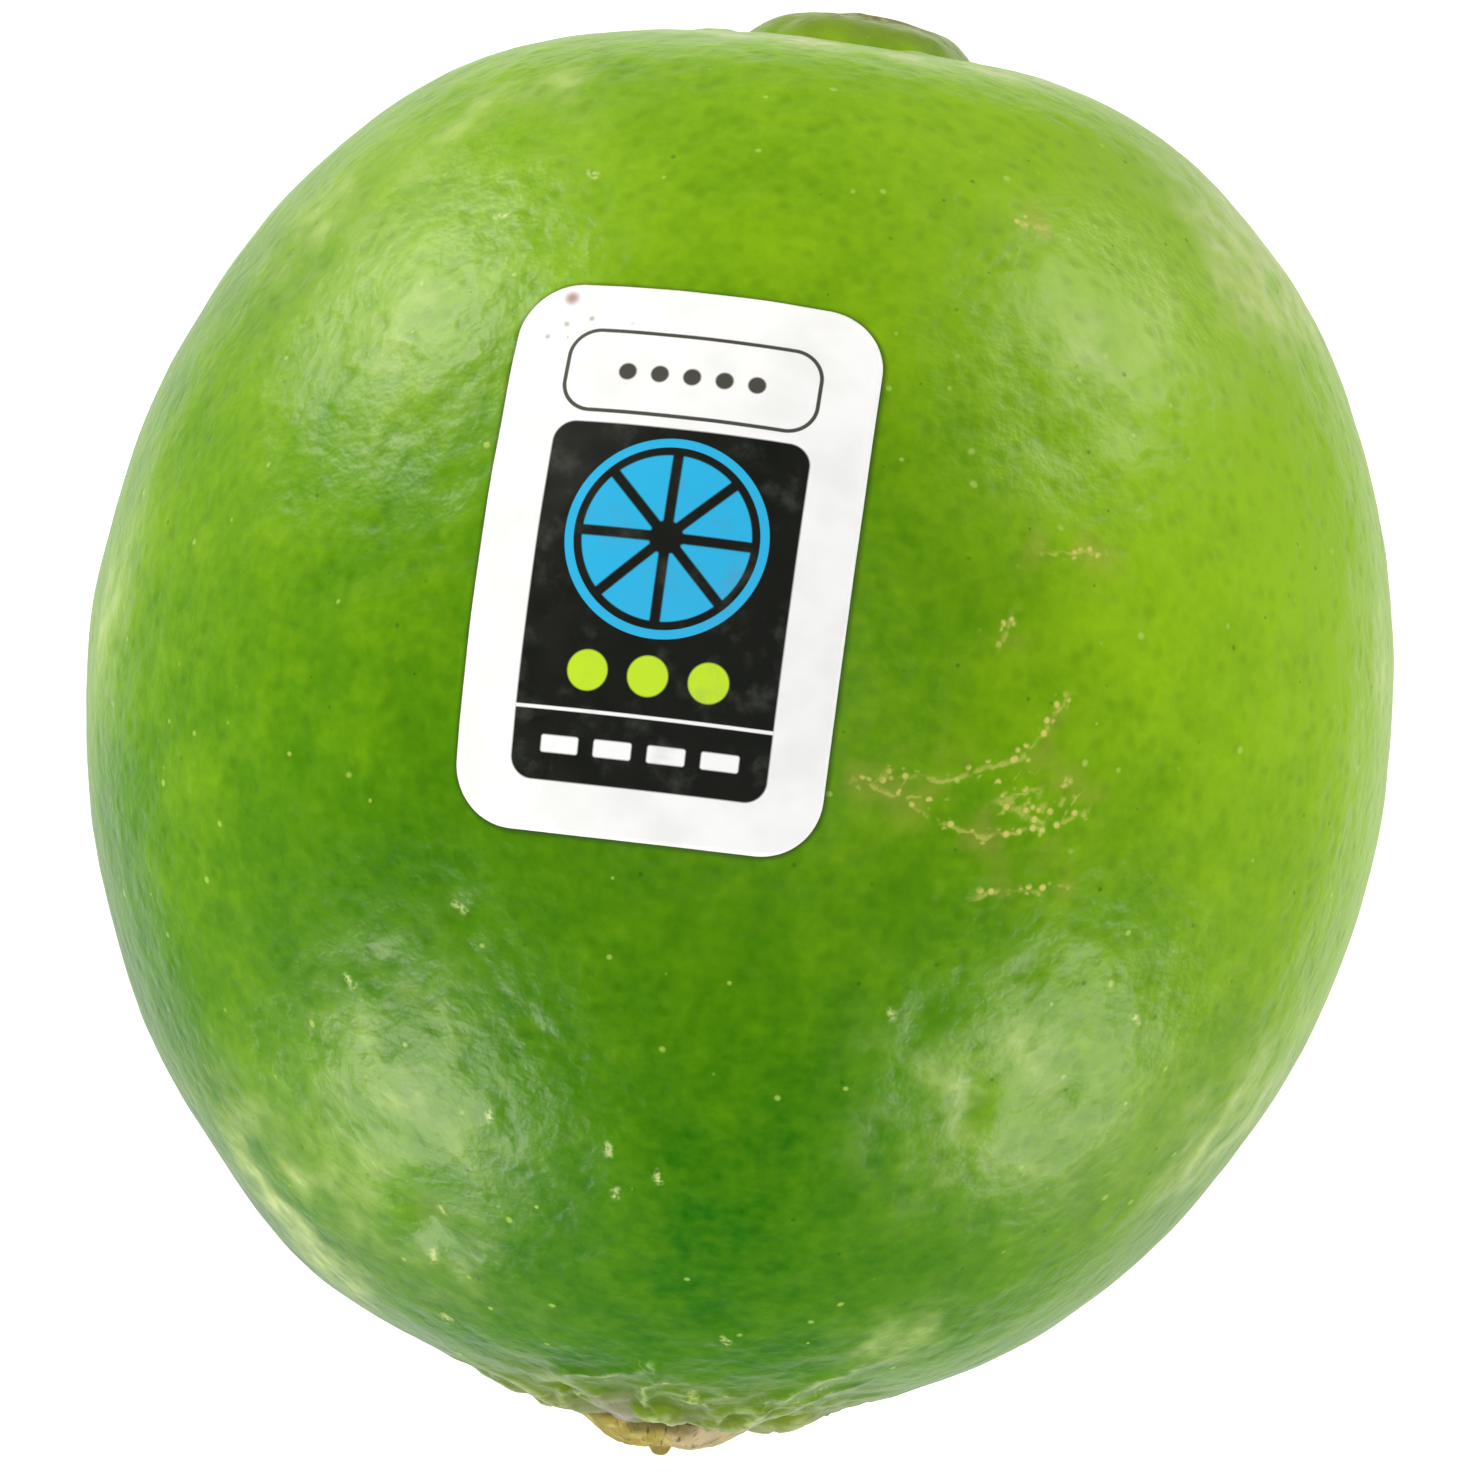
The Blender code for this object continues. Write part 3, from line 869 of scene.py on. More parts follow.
def rounded_box_group():
    """Distance of a place on the label from a box with round corners, below 0 inside it."""
    vectors = ("Place", "Middle", "Half size")
    inputs = (*((name, "NodeSocketVector") for name in vectors), ("Corner", "NodeSocketFloat"))
    title = "Distance from a rounded box"
    graph, given, ends = new_group(title, inputs, (("Distance", "NodeSocketFloat"),))
    offset = graph.vector("ABSOLUTE", graph.vector("SUBTRACT", given["Place"], given["Middle"]))
    past = graph.vector("SUBTRACT", offset, given["Half size"])
    past_x, past_y = (graph.math("ADD", graph.split(past, axis), given["Corner"]) for axis in (0, 1))
    out_x, out_y = (graph.math("MAXIMUM", value, 0.0) for value in (past_x, past_y))
    squares = graph.math("ADD", graph.times(out_x, out_x), graph.times(out_y, out_y))
    inside = graph.math("MINIMUM", graph.math("MAXIMUM", past_x, past_y), 0.0)
    distance = graph.math("ADD", graph.math("SQRT", squares), inside)
    graph.tree.links.new(graph.math("SUBTRACT", distance, given["Corner"]), ends["Distance"])
    return graph.tree


def shared(name, make):
    """A node group that more than one material uses, made once."""
    return bpy.data.node_groups.get(name) or make()


def specks(graph, place, count, share, size):
    """Specks in a material: how many cells to a millimetre, the share that has one, and its radius."""
    inputs = {"Place": place, "Count": count, "Share": share, "Size": size}
    return graph.group(shared("Specks", specks_group), inputs)


def in_millimetres(graph):
    """A piece's own place in millimetres about the fruit's middle."""
    here = graph.add("ShaderNodeTexCoord", (), "Object")
    inputs = {"Vector": here, "Location": -MIDDLE / MM, "Scale": (1 / MM,) * 3}
    return graph.add("ShaderNodeMapping", inputs)


def new_material(name):
    material = bpy.data.materials.new(name)
    material.use_nodes = True
    shader = material.node_tree.nodes["Principled BSDF"]
    return material, Graph(material.node_tree), shader


def plug(graph, shader, **sockets):
    for name, socket in sockets.items():
        graph.tree.links.new(socket, shader.inputs[name.replace("_", " ")])


def bumped(graph, height):
    """A normal from a height in millimetres."""
    return graph.add("ShaderNodeBump", {"Height": height, "Strength": 1.0, "Distance": MM})


# The peel's patterns: how many to a millimetre, and for specks also the share that shows and the radius.
FINE_COUNT = 1.7
CLOUD_COUNT = 0.8
BEAD_COUNT = 2.3
SPECKS = (0.8, 0.3, 0.15)
PINPRICKS = (1.0, 0.22, 0.13)
# How fully each colour covers the one under it, or the least and the most of it.
MOTTLE_SHARE = 0.35
CLOUD_COVER = (0.03, 0.17)
HAZE_COVER = 0.30
GLAND_COVER = 0.16
SPECK_COVER = 0.6
PINPRICK_COVER = 0.5
BLUSH_COVER = 0.32
SCAR_COVER = 0.82
FLECK_COVER = 0.7
STEM_TINT_COVER = 0.62
CREST_COVER = (0.08, 0.42)
VALLEY_COVER = 0.35
FOLD_COVER = 0.55
CORK_COVER = 0.6
BRUISE_COVER = 0.7
OLIVE_COVER = 0.8
SHOULDER_COVER = (0.35, 0.85)
STYLE_SCAR_COVER = 0.85
PAINTED_SHADE_COVER = 0.75
CORK_SWELL = 0.20
DULL_ROUGHNESS = 0.25
WAX_IOR = 1.42


def uneven(graph, name, waver, sway):
    """The distance from a stored line, swayed by noise so that the line's edge is uneven."""
    return graph.math("ABSOLUTE", graph.math("MULTIPLY_ADD", waver, sway, graph.stored(name)))


def peel_material(settings):
    """Waxy lime peel: uneven green, oil glands, pale specks, scars, and dry tints at the two ends."""
    material, graph, shader = new_material("Lime peel")
    place = in_millimetres(graph)

    # Base colour: the broad tone of the fruit, partly painted light that makes the sides and the nipple
    # end paler, with a fine mottle.
    fine = graph.noise(place, FINE_COUNT, 2.0)
    waver = graph.math("SUBTRACT", fine, 0.5)
    tone_and_painted_light = graph.math("MULTIPLY_ADD", waver, MOTTLE_SHARE * settings.mottle, graph.stored("tone_and_painted_light"))
    skin = graph.mix(graph.ramp(tone_and_painted_light, 0.0, 0.4, smooth=False), settings.deep_green, settings.fresh_green)
    skin = graph.mix(graph.ramp(tone_and_painted_light, 0.4, 1.0, smooth=False), skin, settings.yellow_green)

    # Wax bloom and painted highlight: pale clouds, and an even haze where it is thick, which stand partly
    # for the softboxes' glare and the pale reflection along the rims.
    clouds = graph.noise(place, CLOUD_COUNT, 3.0, 0.52)
    bloom_and_glare = graph.stored("bloom_and_glare")
    cloud = graph.times(graph.ramp(clouds, 0.34, 0.72, *CLOUD_COVER), bloom_and_glare)
    haze = graph.ramp(bloom_and_glare, 1.2, 4.0, 0.0, HAZE_COVER, smooth=False)
    skin = graph.mix(graph.math("ADD", cloud, haze, clamp=True), skin, settings.bloom_and_glare_colour)

    # Oil glands: darker dots, each in a shallow pit.
    sway = graph.vector("MULTIPLY", graph.noise(place, 0.7, 0.0, out="Color"), (0.3, 0.3, 0.3))
    swayed = graph.vector("ADD", place, sway)
    gland = graph.ramp(graph.cells(swayed, 1.0 / settings.gland_spacing), 0.05, 0.5, 1.0, 0.0)
    skin = graph.cover(skin, gland, GLAND_COVER, settings.gland_green)

    # Pale specks and dark pinpricks.
    skin = graph.cover(skin, specks(graph, swayed, *SPECKS), SPECK_COVER, settings.speck_colour)
    skin = graph.cover(skin, specks(graph, place, *PINPRICKS), PINPRICK_COVER, settings.gland_green)

    # Scars: straw-coloured beads strung on thin lines, on blushed skin. Flecks: small broken patches.
    dots = graph.ramp(graph.cells(place, BEAD_COUNT), 0.44, 0.20)
    side = uneven(graph, "scar_side", waver, 0.7)
    thread = graph.times(graph.ramp(side, 0.16, 0.03), graph.ramp(fine, 0.40, 0.60, 0.0, 0.5))
    beads = graph.times(graph.ramp(side, 0.34, 0.14), dots)
    line = graph.times(graph.math("MAXIMUM", thread, beads), graph.stored("scar_mask"))
    skin = graph.cover(skin, graph.stored("blush"), BLUSH_COVER, settings.blush_colour)
    skin = graph.cover(skin, line, SCAR_COVER, settings.scar_colour)
    fleck = graph.ramp(uneven(graph, "fleck_side", waver, 0.5), 0.24, 0.02)
    fleck = graph.times(fleck, graph.ramp(graph.stored("fleck_mask"), 0.35, 1.0))
    fleck = graph.times(fleck, graph.ramp(graph.noise(place, 5.0, 1.0), 0.38, 0.56, 0.1, 1.0))
    skin = graph.cover(skin, fleck, FLECK_COVER, settings.fleck_colour)

    # The stem end: pale crests, dark valleys, pale folds, a corky ring and a grey patch.
    pucker, cork = graph.stored("pucker"), graph.stored("cork")
    skin = graph.cover(skin, graph.stored("stem_tint"), STEM_TINT_COVER, settings.stem_green)
    crest = graph.times(graph.ramp(pucker, 0.1, 0.9), graph.ramp(fine, 0.35, 0.6, *CREST_COVER))
    skin = graph.mix(crest, skin, settings.crest_colour)
    skin = graph.mix(graph.ramp(pucker, -0.2, -0.9, 0.0, VALLEY_COVER), skin, settings.gland_green)
    fold = graph.ramp(uneven(graph, "fold_side", waver, 0.8), 0.24, 0.03)
    fold = graph.times(fold, graph.stored("fold_mask"), graph.ramp(fine, 0.38, 0.62, 0.0, FOLD_COVER))
    skin = graph.mix(fold, skin, settings.crest_colour)
    skin = graph.cover(skin, cork, CORK_COVER, settings.cork_colour)
    skin = graph.cover(skin, graph.stored("bruise"), BRUISE_COVER, settings.bruise_colour)

    # The nipple end: an olive nipple with a brown scar on its tip, and dry flecks on the shoulder.
    skin = graph.cover(skin, graph.stored("olive"), OLIVE_COVER, settings.nipple_olive)
    rim = graph.times(graph.stored("shoulder_rim"), graph.ramp(fine, 0.35, 0.65, *SHOULDER_COVER))
    skin = graph.mix(rim, skin, settings.shoulder_colour)
    style_scar = graph.times(graph.stored("style_scar"), graph.ramp(fine, 0.38, 0.60, 0.15, 1.0))
    skin = graph.cover(skin, style_scar, STYLE_SCAR_COVER, settings.style_scar_colour)

    # Painted shadow: the peel darkened right against the label's edge, where the label's thickness casts
    # a thin shadow.
    from_label = graph.math("ABSOLUTE", graph.stored("from_label"))
    skin = graph.mix(graph.ramp(from_label, 0.04, 0.32, PAINTED_SHADE_COVER, 0.0), skin, settings.label_shadow_colour)

    # Height: pits over the glands and small swells, which are coarser on the cork.
    swell = graph.math("MULTIPLY_ADD", cork, CORK_SWELL, settings.swell)
    height = graph.times(clouds, swell)
    height = graph.math("MULTIPLY_ADD", gland, -settings.gland_depth, height)
    dull = graph.math("MAXIMUM", graph.math("MAXIMUM", cork, line), style_scar)
    roughness = graph.math("MULTIPLY_ADD", waver, 0.10, settings.roughness)
    roughness = graph.math("MULTIPLY_ADD", dull, DULL_ROUGHNESS, roughness)

    plug(graph, shader, Base_Color=skin, Roughness=roughness, Normal=bumped(graph, height))
    shader.inputs["Specular IOR Level"].default_value = settings.shine
    shader.inputs["IOR"].default_value = WAX_IOR
    return material


DRY_PATCH_COVER = 0.6
CRACK_COVER = 0.7
HOLLOW_COVER = 0.7
LOBE_VALLEY_COVER = 0.6
WOOD_SHINE = 0.3


def button_material(settings):
    """Dry stem button: ochre and tan wood, grey in its hollow, with dark cracks between the lobes, and
    painted shade under the peel's lip and along the rim.
    """
    material, graph, shader = new_material("Dry stem button")
    place = in_millimetres(graph)
    x = graph.math("SUBTRACT", graph.split(place, 0), STEM_ACROSS / MM)
    z = graph.split(place, 2)
    around = graph.math("ARCTAN2", z, x)
    away = graph.math("SQRT", graph.math("ADD", graph.times(x, x), graph.times(z, z)))

    # Ochre on its left and tan on its right, with pale dry patches.
    mottle = graph.noise(place, 0.6, 4.0, 0.65)
    side = graph.math("MULTIPLY_ADD", x, 0.24, 0.1)
    share = graph.math("MULTIPLY_ADD", graph.math("SUBTRACT", mottle, 0.5), 1.6, side)
    wood = graph.mix(graph.ramp(share, 0.15, 0.6), settings.ochre, settings.tan)
    patches = graph.ramp(graph.noise(place, 1.6, 3.0), 0.5, 0.66)
    wood = graph.cover(wood, patches, DRY_PATCH_COVER, settings.pale)

    # Fibres that run outwards, cracked between the hollow and the rim.
    spun = graph.add("ShaderNodeCombineXYZ", {0: graph.times(around, 4.0), 1: graph.times(away, 0.35)})
    fibres = graph.noise(spun, 3.0, 3.0, 0.6)
    cracks = graph.times(graph.ramp(fibres, 0.42, 0.30), graph.ramp(away, 0.7, 1.6))
    wood = graph.cover(wood, cracks, CRACK_COVER, settings.crack_and_shade_colour)
    hollow = graph.ramp(graph.stored("hollow"), 0.1, 0.7)
    wood = graph.cover(wood, hollow, HOLLOW_COVER, settings.grey_violet)
    valley = graph.ramp(graph.stored("valley"), 0.55, 0.95)
    wood = graph.cover(wood, valley, LOBE_VALLEY_COVER, settings.crack_and_shade_colour)
    # Painted shade under the peel's lip and along the rim where the button meets the peel.
    painted_shade = graph.math("MULTIPLY", graph.stored("painted_shade"), PAINTED_SHADE_COVER, clamp=True)
    wood = graph.mix(painted_shade, wood, settings.crack_and_shade_colour)

    grain = graph.times(graph.noise(place, 4.0, 4.0, 0.6), 0.10)
    height = graph.math("MULTIPLY_ADD", fibres, 0.12, grain)
    height = graph.math("MULTIPLY_ADD", cracks, -0.08, height)
    roughness = graph.ramp(mottle, 0.2, 0.8, 0.66, 0.9)
    plug(graph, shader, Base_Color=wood, Roughness=roughness, Normal=bumped(graph, height))
    shader.inputs["Specular IOR Level"].default_value = WOOD_SHINE
    return material


# What is printed on the label, in millimetres from its middle. Boxes: middle, half size and corner.
PANEL = ((0, -2.0), (5.15, 7.2), 0.9)
FIELD = ((0, 7.45), (5.1, 1.75), 1.2)
FIELD_DOTS = tuple((across, 7.45) for across in (-2.6, -1.3, 0.0, 1.3, 2.6))
FIELD_DOT_RADIUS = 0.36
WHEEL_MIDDLE = (0, 0.75)
WHEEL_RADIUS = 3.3
WHEEL_SLICES = 8
SPOKE_HALF = (0.16, 0.26)
HUB_RADIUS = (0.62, 0.74)
RING_RADIUS = 3.85
RING_HALF = 0.16
PANEL_DOTS = tuple((across, -4.75) for across in (-2.4, 0.0, 2.4))
PANEL_DOT_RADIUS = 0.8
RULE = ((0, -6.35), (5.15, 0.07), 0.0)
BARS = tuple((across, -7.75) for across in (-3.2, -1.07, 1.07, 3.2))
BAR_HALF = (0.75, 0.34)
BAR_CORNER = 0.1
# Dirt on it: middle and radius, and for the specks how many, the share that shows and the radius.
STAIN = ((-5.5, 10.6), 0.26)
STAIN_COVER = 0.75
STAIN_DOTS = ((-4.5, 9.7), (-5.5, 9.4), (-6.2, 8.8))
STAIN_DOT_RADIUS = 0.10
STAIN_DOT_COVER = 0.55
SPECKED_CORNER = ((-5.2, 10.2), 2.4)
LABEL_SPECKS = (1.3, 0.5, 0.26)
PRINT_HEIGHT = 0.004
PAPER_SHINE = 0.45


def box_distance(graph, place, middle, half, corner):
    """Distance from a rounded box printed on the label, below 0 inside it."""
    inputs = {"Place": place, "Middle": (*middle, 0), "Half size": (*half, 0), "Corner": corner}
    return graph.group(shared("Distance from a rounded box", rounded_box_group), inputs)


def disc_distance(graph, place, middle, radius):
    """Distance from a disc printed on the label, below 0 inside it."""
    away = graph.vector("LENGTH", graph.vector("SUBTRACT", place, (*middle, 0)), out="Value")
    return graph.math("SUBTRACT", away, radius)


def inside(graph, distance, soft=0.05):
    """1 where a distance is below 0, with a soft edge."""
    return graph.ramp(distance, -soft, soft, 1.0, 0.0)


def outline_of(graph, distance, half_width=0.06, soft=0.04):
    return graph.ramp(graph.math("ABSOLUTE", distance), half_width, half_width + soft, 1.0, 0.0)


def wheel_mask(graph, place, middle, radius):
    """A plain wheel of eight slices, like a cut across any citrus fruit."""
    offset = graph.vector("SUBTRACT", place, (*middle, 0))
    away = graph.vector("LENGTH", offset, out="Value")
    around = graph.math("ARCTAN2", graph.split(offset, 1), graph.split(offset, 0))
    slice_half = math.pi / WHEEL_SLICES
    turn = graph.math("SUBTRACT", graph.math("FLOORED_MODULO", around, 2 * slice_half), slice_half)
    from_spoke = graph.math("SUBTRACT", slice_half, graph.math("ABSOLUTE", turn))
    spoke = graph.times(away, graph.math("SINE", from_spoke))
    between = graph.ramp(spoke, *SPOKE_HALF)
    hub = graph.ramp(away, *HUB_RADIUS)
    rind = graph.ramp(away, radius, radius + 0.08, 1.0, 0.0)
    return graph.times(between, hub, rind)


def label_material(settings):
    """Printed paper: a black panel with a plain citrus wheel and dots, under an outlined white field."""
    material, graph, shader = new_material("Printed label paper")
    raw = graph.add("ShaderNodeUVMap", uv_map="flat_label")
    centred = graph.vector("SUBTRACT", raw, (0.5, 0.5, 0))
    place = graph.vector("MULTIPLY", centred, (LABEL_WIDTH / MM, LABEL_HEIGHT / MM, 0))
    body = in_millimetres(graph)

    # Paper with dull patches, then what is printed on it.
    dull = graph.ramp(graph.noise(place, 0.35, 3.0), 0.35, 0.7)
    face = graph.mix(dull, settings.paper, settings.paper_shade)
    panel = inside(graph, box_distance(graph, place, *PANEL))
    face = graph.mix(panel, face, settings.black_ink)
    face = graph.mix(outline_of(graph, box_distance(graph, place, *FIELD)), face, settings.grey_ink)
    for middle in FIELD_DOTS:
        dot = inside(graph, disc_distance(graph, place, middle, FIELD_DOT_RADIUS))
        face = graph.mix(dot, face, settings.grey_ink)
    ring = outline_of(graph, disc_distance(graph, place, WHEEL_MIDDLE, RING_RADIUS), RING_HALF)
    face = graph.mix(ring, face, settings.blue_ink)
    face = graph.mix(wheel_mask(graph, place, WHEEL_MIDDLE, WHEEL_RADIUS), face, settings.blue_ink)
    for middle in PANEL_DOTS:
        dot = inside(graph, disc_distance(graph, place, middle, PANEL_DOT_RADIUS))
        face = graph.mix(dot, face, settings.green_ink)
    face = graph.mix(inside(graph, box_distance(graph, place, *RULE), 0.03), face, settings.paper)
    for middle in BARS:
        bar = inside(graph, box_distance(graph, place, middle, BAR_HALF, BAR_CORNER))
        face = graph.mix(bar, face, settings.paper)

    # Wear: greyish rubbing on the ink, and a stain and brown specks near one corner.
    rubbed = graph.ramp(graph.noise(place, 0.5, 5.0, 0.65), 0.5, 0.75, 0.0, 0.22)
    face = graph.cover(face, rubbed, panel, settings.rub_colour)
    stain = inside(graph, disc_distance(graph, place, *STAIN), 0.20)
    face = graph.cover(face, stain, STAIN_COVER, settings.stain_colour)
    for middle in STAIN_DOTS:
        dot = inside(graph, disc_distance(graph, place, middle, STAIN_DOT_RADIUS), 0.08)
        face = graph.cover(face, dot, STAIN_DOT_COVER, settings.speck_colour)
    corner = inside(graph, disc_distance(graph, place, *SPECKED_CORNER), 1.6)
    brown = graph.times(corner, specks(graph, place, *LABEL_SPECKS))
    face = graph.cover(face, brown, STAIN_COVER, settings.speck_colour)

    waves = graph.times(graph.noise(place, 0.28, 2.0), 0.10)
    height = graph.math("MULTIPLY_ADD", graph.noise(body, 3.0, 2.0), PRINT_HEIGHT, waves)
    height = graph.math("MULTIPLY_ADD", panel, PRINT_HEIGHT, height)
    roughness = graph.ramp(graph.noise(place, 0.7, 4.0), 0.3, 0.7, 0.34, 0.5)
    plug(graph, shader, Base_Color=face, Roughness=roughness, Normal=bumped(graph, height))
    shader.inputs["Specular IOR Level"].default_value = PAPER_SHINE
    return material


def number(name, description, default, least, most, **kind):
    """A number that a user can change, between two limits."""
    given = {"name": name, "description": description, "default": default, "min": least, "max": most}
    return bpy.props.FloatProperty(**given, **kind)


def whole(name, description, default, least, most):
    """A whole number that a user can change, between two limits."""
    return bpy.props.IntProperty(name=name, description=description, default=default, min=least, max=most)


def metres(name, description, default, least, most):
    """A length that a user can change."""
    return number(name, description, default, least, most, unit="LENGTH", precision=6)


def factor(name, description, default, least, most):
    """A share that a user can change with a slider."""
    return number(name, description, default, least, most, subtype="FACTOR")


def watts(name, description, default, least, most):
    """A lamp's power, which a user can change."""
    return number(name, description, default, least, most, unit="POWER")


def paint(name, thing, *screen):
    """The colour of a thing, which a user can change, given as it reads off a screen."""
    return bpy.props.FloatVectorProperty(
        name=name,
        description=f"Colour of {thing}",
        subtype="COLOR",
        size=3,
        min=0.0,
        max=1.0,
        default=from_screen(*screen),
    )


class LIME_PG_peel(bpy.types.PropertyGroup):
    """Sizes and colours of the peel."""

    cuts: whole("Fineness", "Cuts across each side of the cube that the peel starts from", 127, 7, 127)
    relief: number("Relief", "Share of the fine dents and ripples that is kept", 1.0, 0.0, 2.0)
    mottle: number("Mottle", "How uneven the green is", 1.0, 0.0, 3.0)
    gland_spacing: number("Gland spacing", "Millimetres from one oil gland to the next", 0.95, 0.3, 3.0)
    gland_depth: number("Gland depth", "Millimetres that the skin dips over a gland", 0.018, 0.0, 0.2)
    swell: number("Swell", "Height in millimetres of the small swells of the skin", 0.12, 0.0, 0.5)
    roughness: factor("Roughness", "Roughness of the wax on the peel", 0.32, 0.1, 0.9)
    shine: factor("Shine", "Strength of the peel's reflections", 0.30, 0.0, 1.0)
    # The peel runs from deep green through fresh green to yellow green; part of that run is painted
    # light, paler towards the sides and the nipple end.
    deep_green: paint("Deep green", "the peel where it is greenest", 28, 97, 2)
    fresh_green: paint("Fresh green", "most of the peel", 82, 134, 6)
    yellow_green: paint("Yellow green", "the peel where it has begun to turn", 136, 179, 20)
    # Partly painted highlight: the pale colour of the wax bloom and of the painted glare and rim
    # reflection.
    bloom_and_glare_colour: paint("Bloom", "the wax bloom on the peel", 182, 202, 122)
    gland_green: paint("Gland green", "the peel over the oil glands and in the furrows", 30, 76, 6)
    speck_colour: paint("Specks", "the small pale specks", 172, 200, 92)
    fleck_colour: paint("Flecks", "the larger pale flecks", 198, 212, 140)
    scar_colour: paint("Scar lines", "the dry scar lines", 204, 196, 104)
    blush_colour: paint("Scar blush", "the skin round the scars", 160, 150, 70)
    crest_colour: paint("Crests", "the pale crests at the stem end", 170, 188, 128)
    shoulder_colour: paint("Shoulder", "the dry flecks on the shoulder round the nipple", 196, 200, 150)
    cork_colour: paint("Cork", "the corky skin against the stem button", 138, 140, 118)
    bruise_colour: paint("Grey patch", "the dry patch above the stem button", 138, 128, 126)
    stem_green: paint("Stem end", "the peel round the stem button", 122, 128, 34)
    nipple_olive: paint("Nipple", "the nipple", 108, 130, 40)
    style_scar_colour: paint("Style scar", "the scar on the nipple's tip", 112, 78, 44)
    # Painted shadow: the darker peel right against the label's edge.
    label_shadow_colour: paint("Label edge", "the peel against the label's edge", 48, 70, 22)


class LIME_PG_stem_button(bpy.types.PropertyGroup):
    """Sizes and colours of the dry stem button."""

    segments: whole("Segments", "Points round the button", 120, 24, 240)
    rings: whole("Rings", "Points from the button's middle over its rim and back", 72, 16, 160)
    relief: number("Relief", "Share of the rough dry relief that is kept", 1.0, 0.0, 2.0)
    ochre: paint("Ochre", "its left side", 152, 138, 62)
    tan: paint("Tan", "its right side", 176, 160, 130)
    pale: paint("Pale", "its dry patches", 192, 180, 112)
    grey_violet: paint("Grey", "its hollow", 140, 132, 128)
    # Also the painted shade under the peel's lip and along the rim.
    crack_and_shade_colour: paint("Cracks", "its cracks and valleys", 72, 66, 30)


class LIME_PG_label(bpy.types.PropertyGroup):
    """Sizes and colours of the label."""

    thickness: metres("Thickness", "Thickness of the label", 0.00010, 0.00002, 0.0002)
    lift: metres("Lift", "How far its edge may lift off the peel", 0.00005, 0.0, 0.0002)
    crease: metres("Creases", "Height of its soft creases", 0.00004, 0.0, 0.0002)
    paper: paint("Paper", "the paper", 247, 247, 249)
    paper_shade: paint("Paper shade", "the paper's dull patches", 238, 238, 239)
    black_ink: paint("Black ink", "the panel", 22, 24, 20)
    grey_ink: paint("Grey ink", "the outline and the small dots", 72, 72, 66)
    blue_ink: paint("Blue ink", "the wheel", 43, 178, 228)
    green_ink: paint("Green ink", "the large dots", 192, 228, 40)
    rub_colour: paint("Rubbing", "the rubbed ink", 110, 114, 104)
    speck_colour: paint("Specks", "the specks of dirt", 120, 84, 52)
    stain_colour: paint("Stain", "the small stain at one corner", 146, 76, 58)


class LIME_PG_studio(bpy.types.PropertyGroup):
    """The camera, the floor and the lights."""

    camera_height: metres("Camera height", "From the fruit's middle to the camera", 0.45, 0.1, 2.0)
    camera_across: metres("Camera across", "How far the camera stands to the right", 0.000064, -1.0, 1.0)
    camera_along: metres("Camera along", "How far it stands towards the nipple", -0.001493, -1.0, 1.0)
    camera_turn: bpy.props.FloatProperty(
        name="Camera turn",
        description="Turn of the picture about the upright axis",
        default=math.radians(8.5),
        subtype="ANGLE",
    )
    view_width: metres("View width", "Width of the view at the fruit's middle", 0.06102, 0.01, 1.0)
    box_power: watts("Softboxes", "Power of a softbox whose share is 1", 0.42, 0.0, 50.0)
    ceiling_power: watts("Ceiling", "Power of the soft light overhead", 18.9, 0.0, 100.0)
    zenith: number("Zenith", "Strength of the room's light from straight above", 0.02, 0.0, 5.0)
    horizon: number("Horizon", "Strength of the room's light from the sides", 0.08, 0.0, 5.0)
    floor_colour: paint("Floor", "the floor", 242, 242, 242)
    sheet: metres("Bright floor", "How far the floor is bright in reflections", 0.075, 0.01, 2.0)
    floor_glow: number("Floor glow", "Extra white of the floor as the camera sees it", 0.35, 0.0, 2.0)


class LIME_OT_peel(bpy.types.Operator):
    """Makes the dressed peel in place of the plain fruit"""

    bl_idname = "lime.peel"
    bl_label = "Make the peel"

    def execute(self, context):
        settings = context.scene.lime_peel
        as_piece("peel", make_peel(settings), peel_material(settings), "fruit")
        return {"FINISHED"}


class LIME_OT_stem_button(bpy.types.Operator):
    """Makes the dry stem button in place of the plain one"""

    bl_idname = "lime.stem_button"
    bl_label = "Make the stem button"

    def execute(self, context):
        settings = context.scene.lime_stem_button
        as_piece("stem_button", make_calyx(settings), button_material(settings), "calyx")
        return {"FINISHED"}


class LIME_OT_label(bpy.types.Operator):
    """Makes the printed label in place of the plain one"""

    bl_idname = "lime.label"
    bl_label = "Make the label"

    def execute(self, context):
        settings = context.scene.lime_label
        label, paper = make_label(settings), label_material(settings)
        piece = as_piece("printed_label", label, paper, "label")
        body = piece.modifiers.new("Thickness", "SOLIDIFY")
        body.thickness = settings.thickness
        body.offset = -1
        return {"FINISHED"}


SENSOR_WIDTH = 36
CLIP = (0.01, 20)
FLOOR_HALF = 1.5
FLOOR_ROUGHNESS = 0.25
# The floor's reflection darkens from this share of its bright part to its end, by this much.
BRIGHT_SHARE = 0.6
FAR_DARKNESS = 0.85
WARM = (1.0, 0.98, 0.84)
WHITE = (1.0, 1.0, 1.0)
BOX_SIZE = (0.105, 0.14)
BOX_DISTANCE = 0.25
# Softboxes: degrees round and up, and share of the full power.
SOFTBOXES = (
    ("softbox_a", 143.0, 5.0, 1.20),
    ("softbox_b", 50.0, 7.0, 0.60),
    ("softbox_c", 235.0, 7.0, 1.08),
    ("softbox_d", -36.0, 7.0, 0.82),
)
CEILING_SIZE = (1.2, 1.2)
CEILING_DISTANCE = 1.4


def add_camera(settings):
    lens = bpy.data.cameras.new("camera")
    lens.sensor_width = SENSOR_WIDTH
    lens.lens = SENSOR_WIDTH * settings.camera_height / settings.view_width
    lens.clip_start, lens.clip_end = CLIP
    camera = bpy.data.objects.new("camera", lens)
    offset = (settings.camera_across, settings.camera_along, settings.camera_height)
    camera.location = MIDDLE + Vector(offset)
    camera.rotation_euler = (0, 0, settings.camera_turn)
    bpy.context.scene.collection.objects.link(camera)
    bpy.context.scene.camera = camera


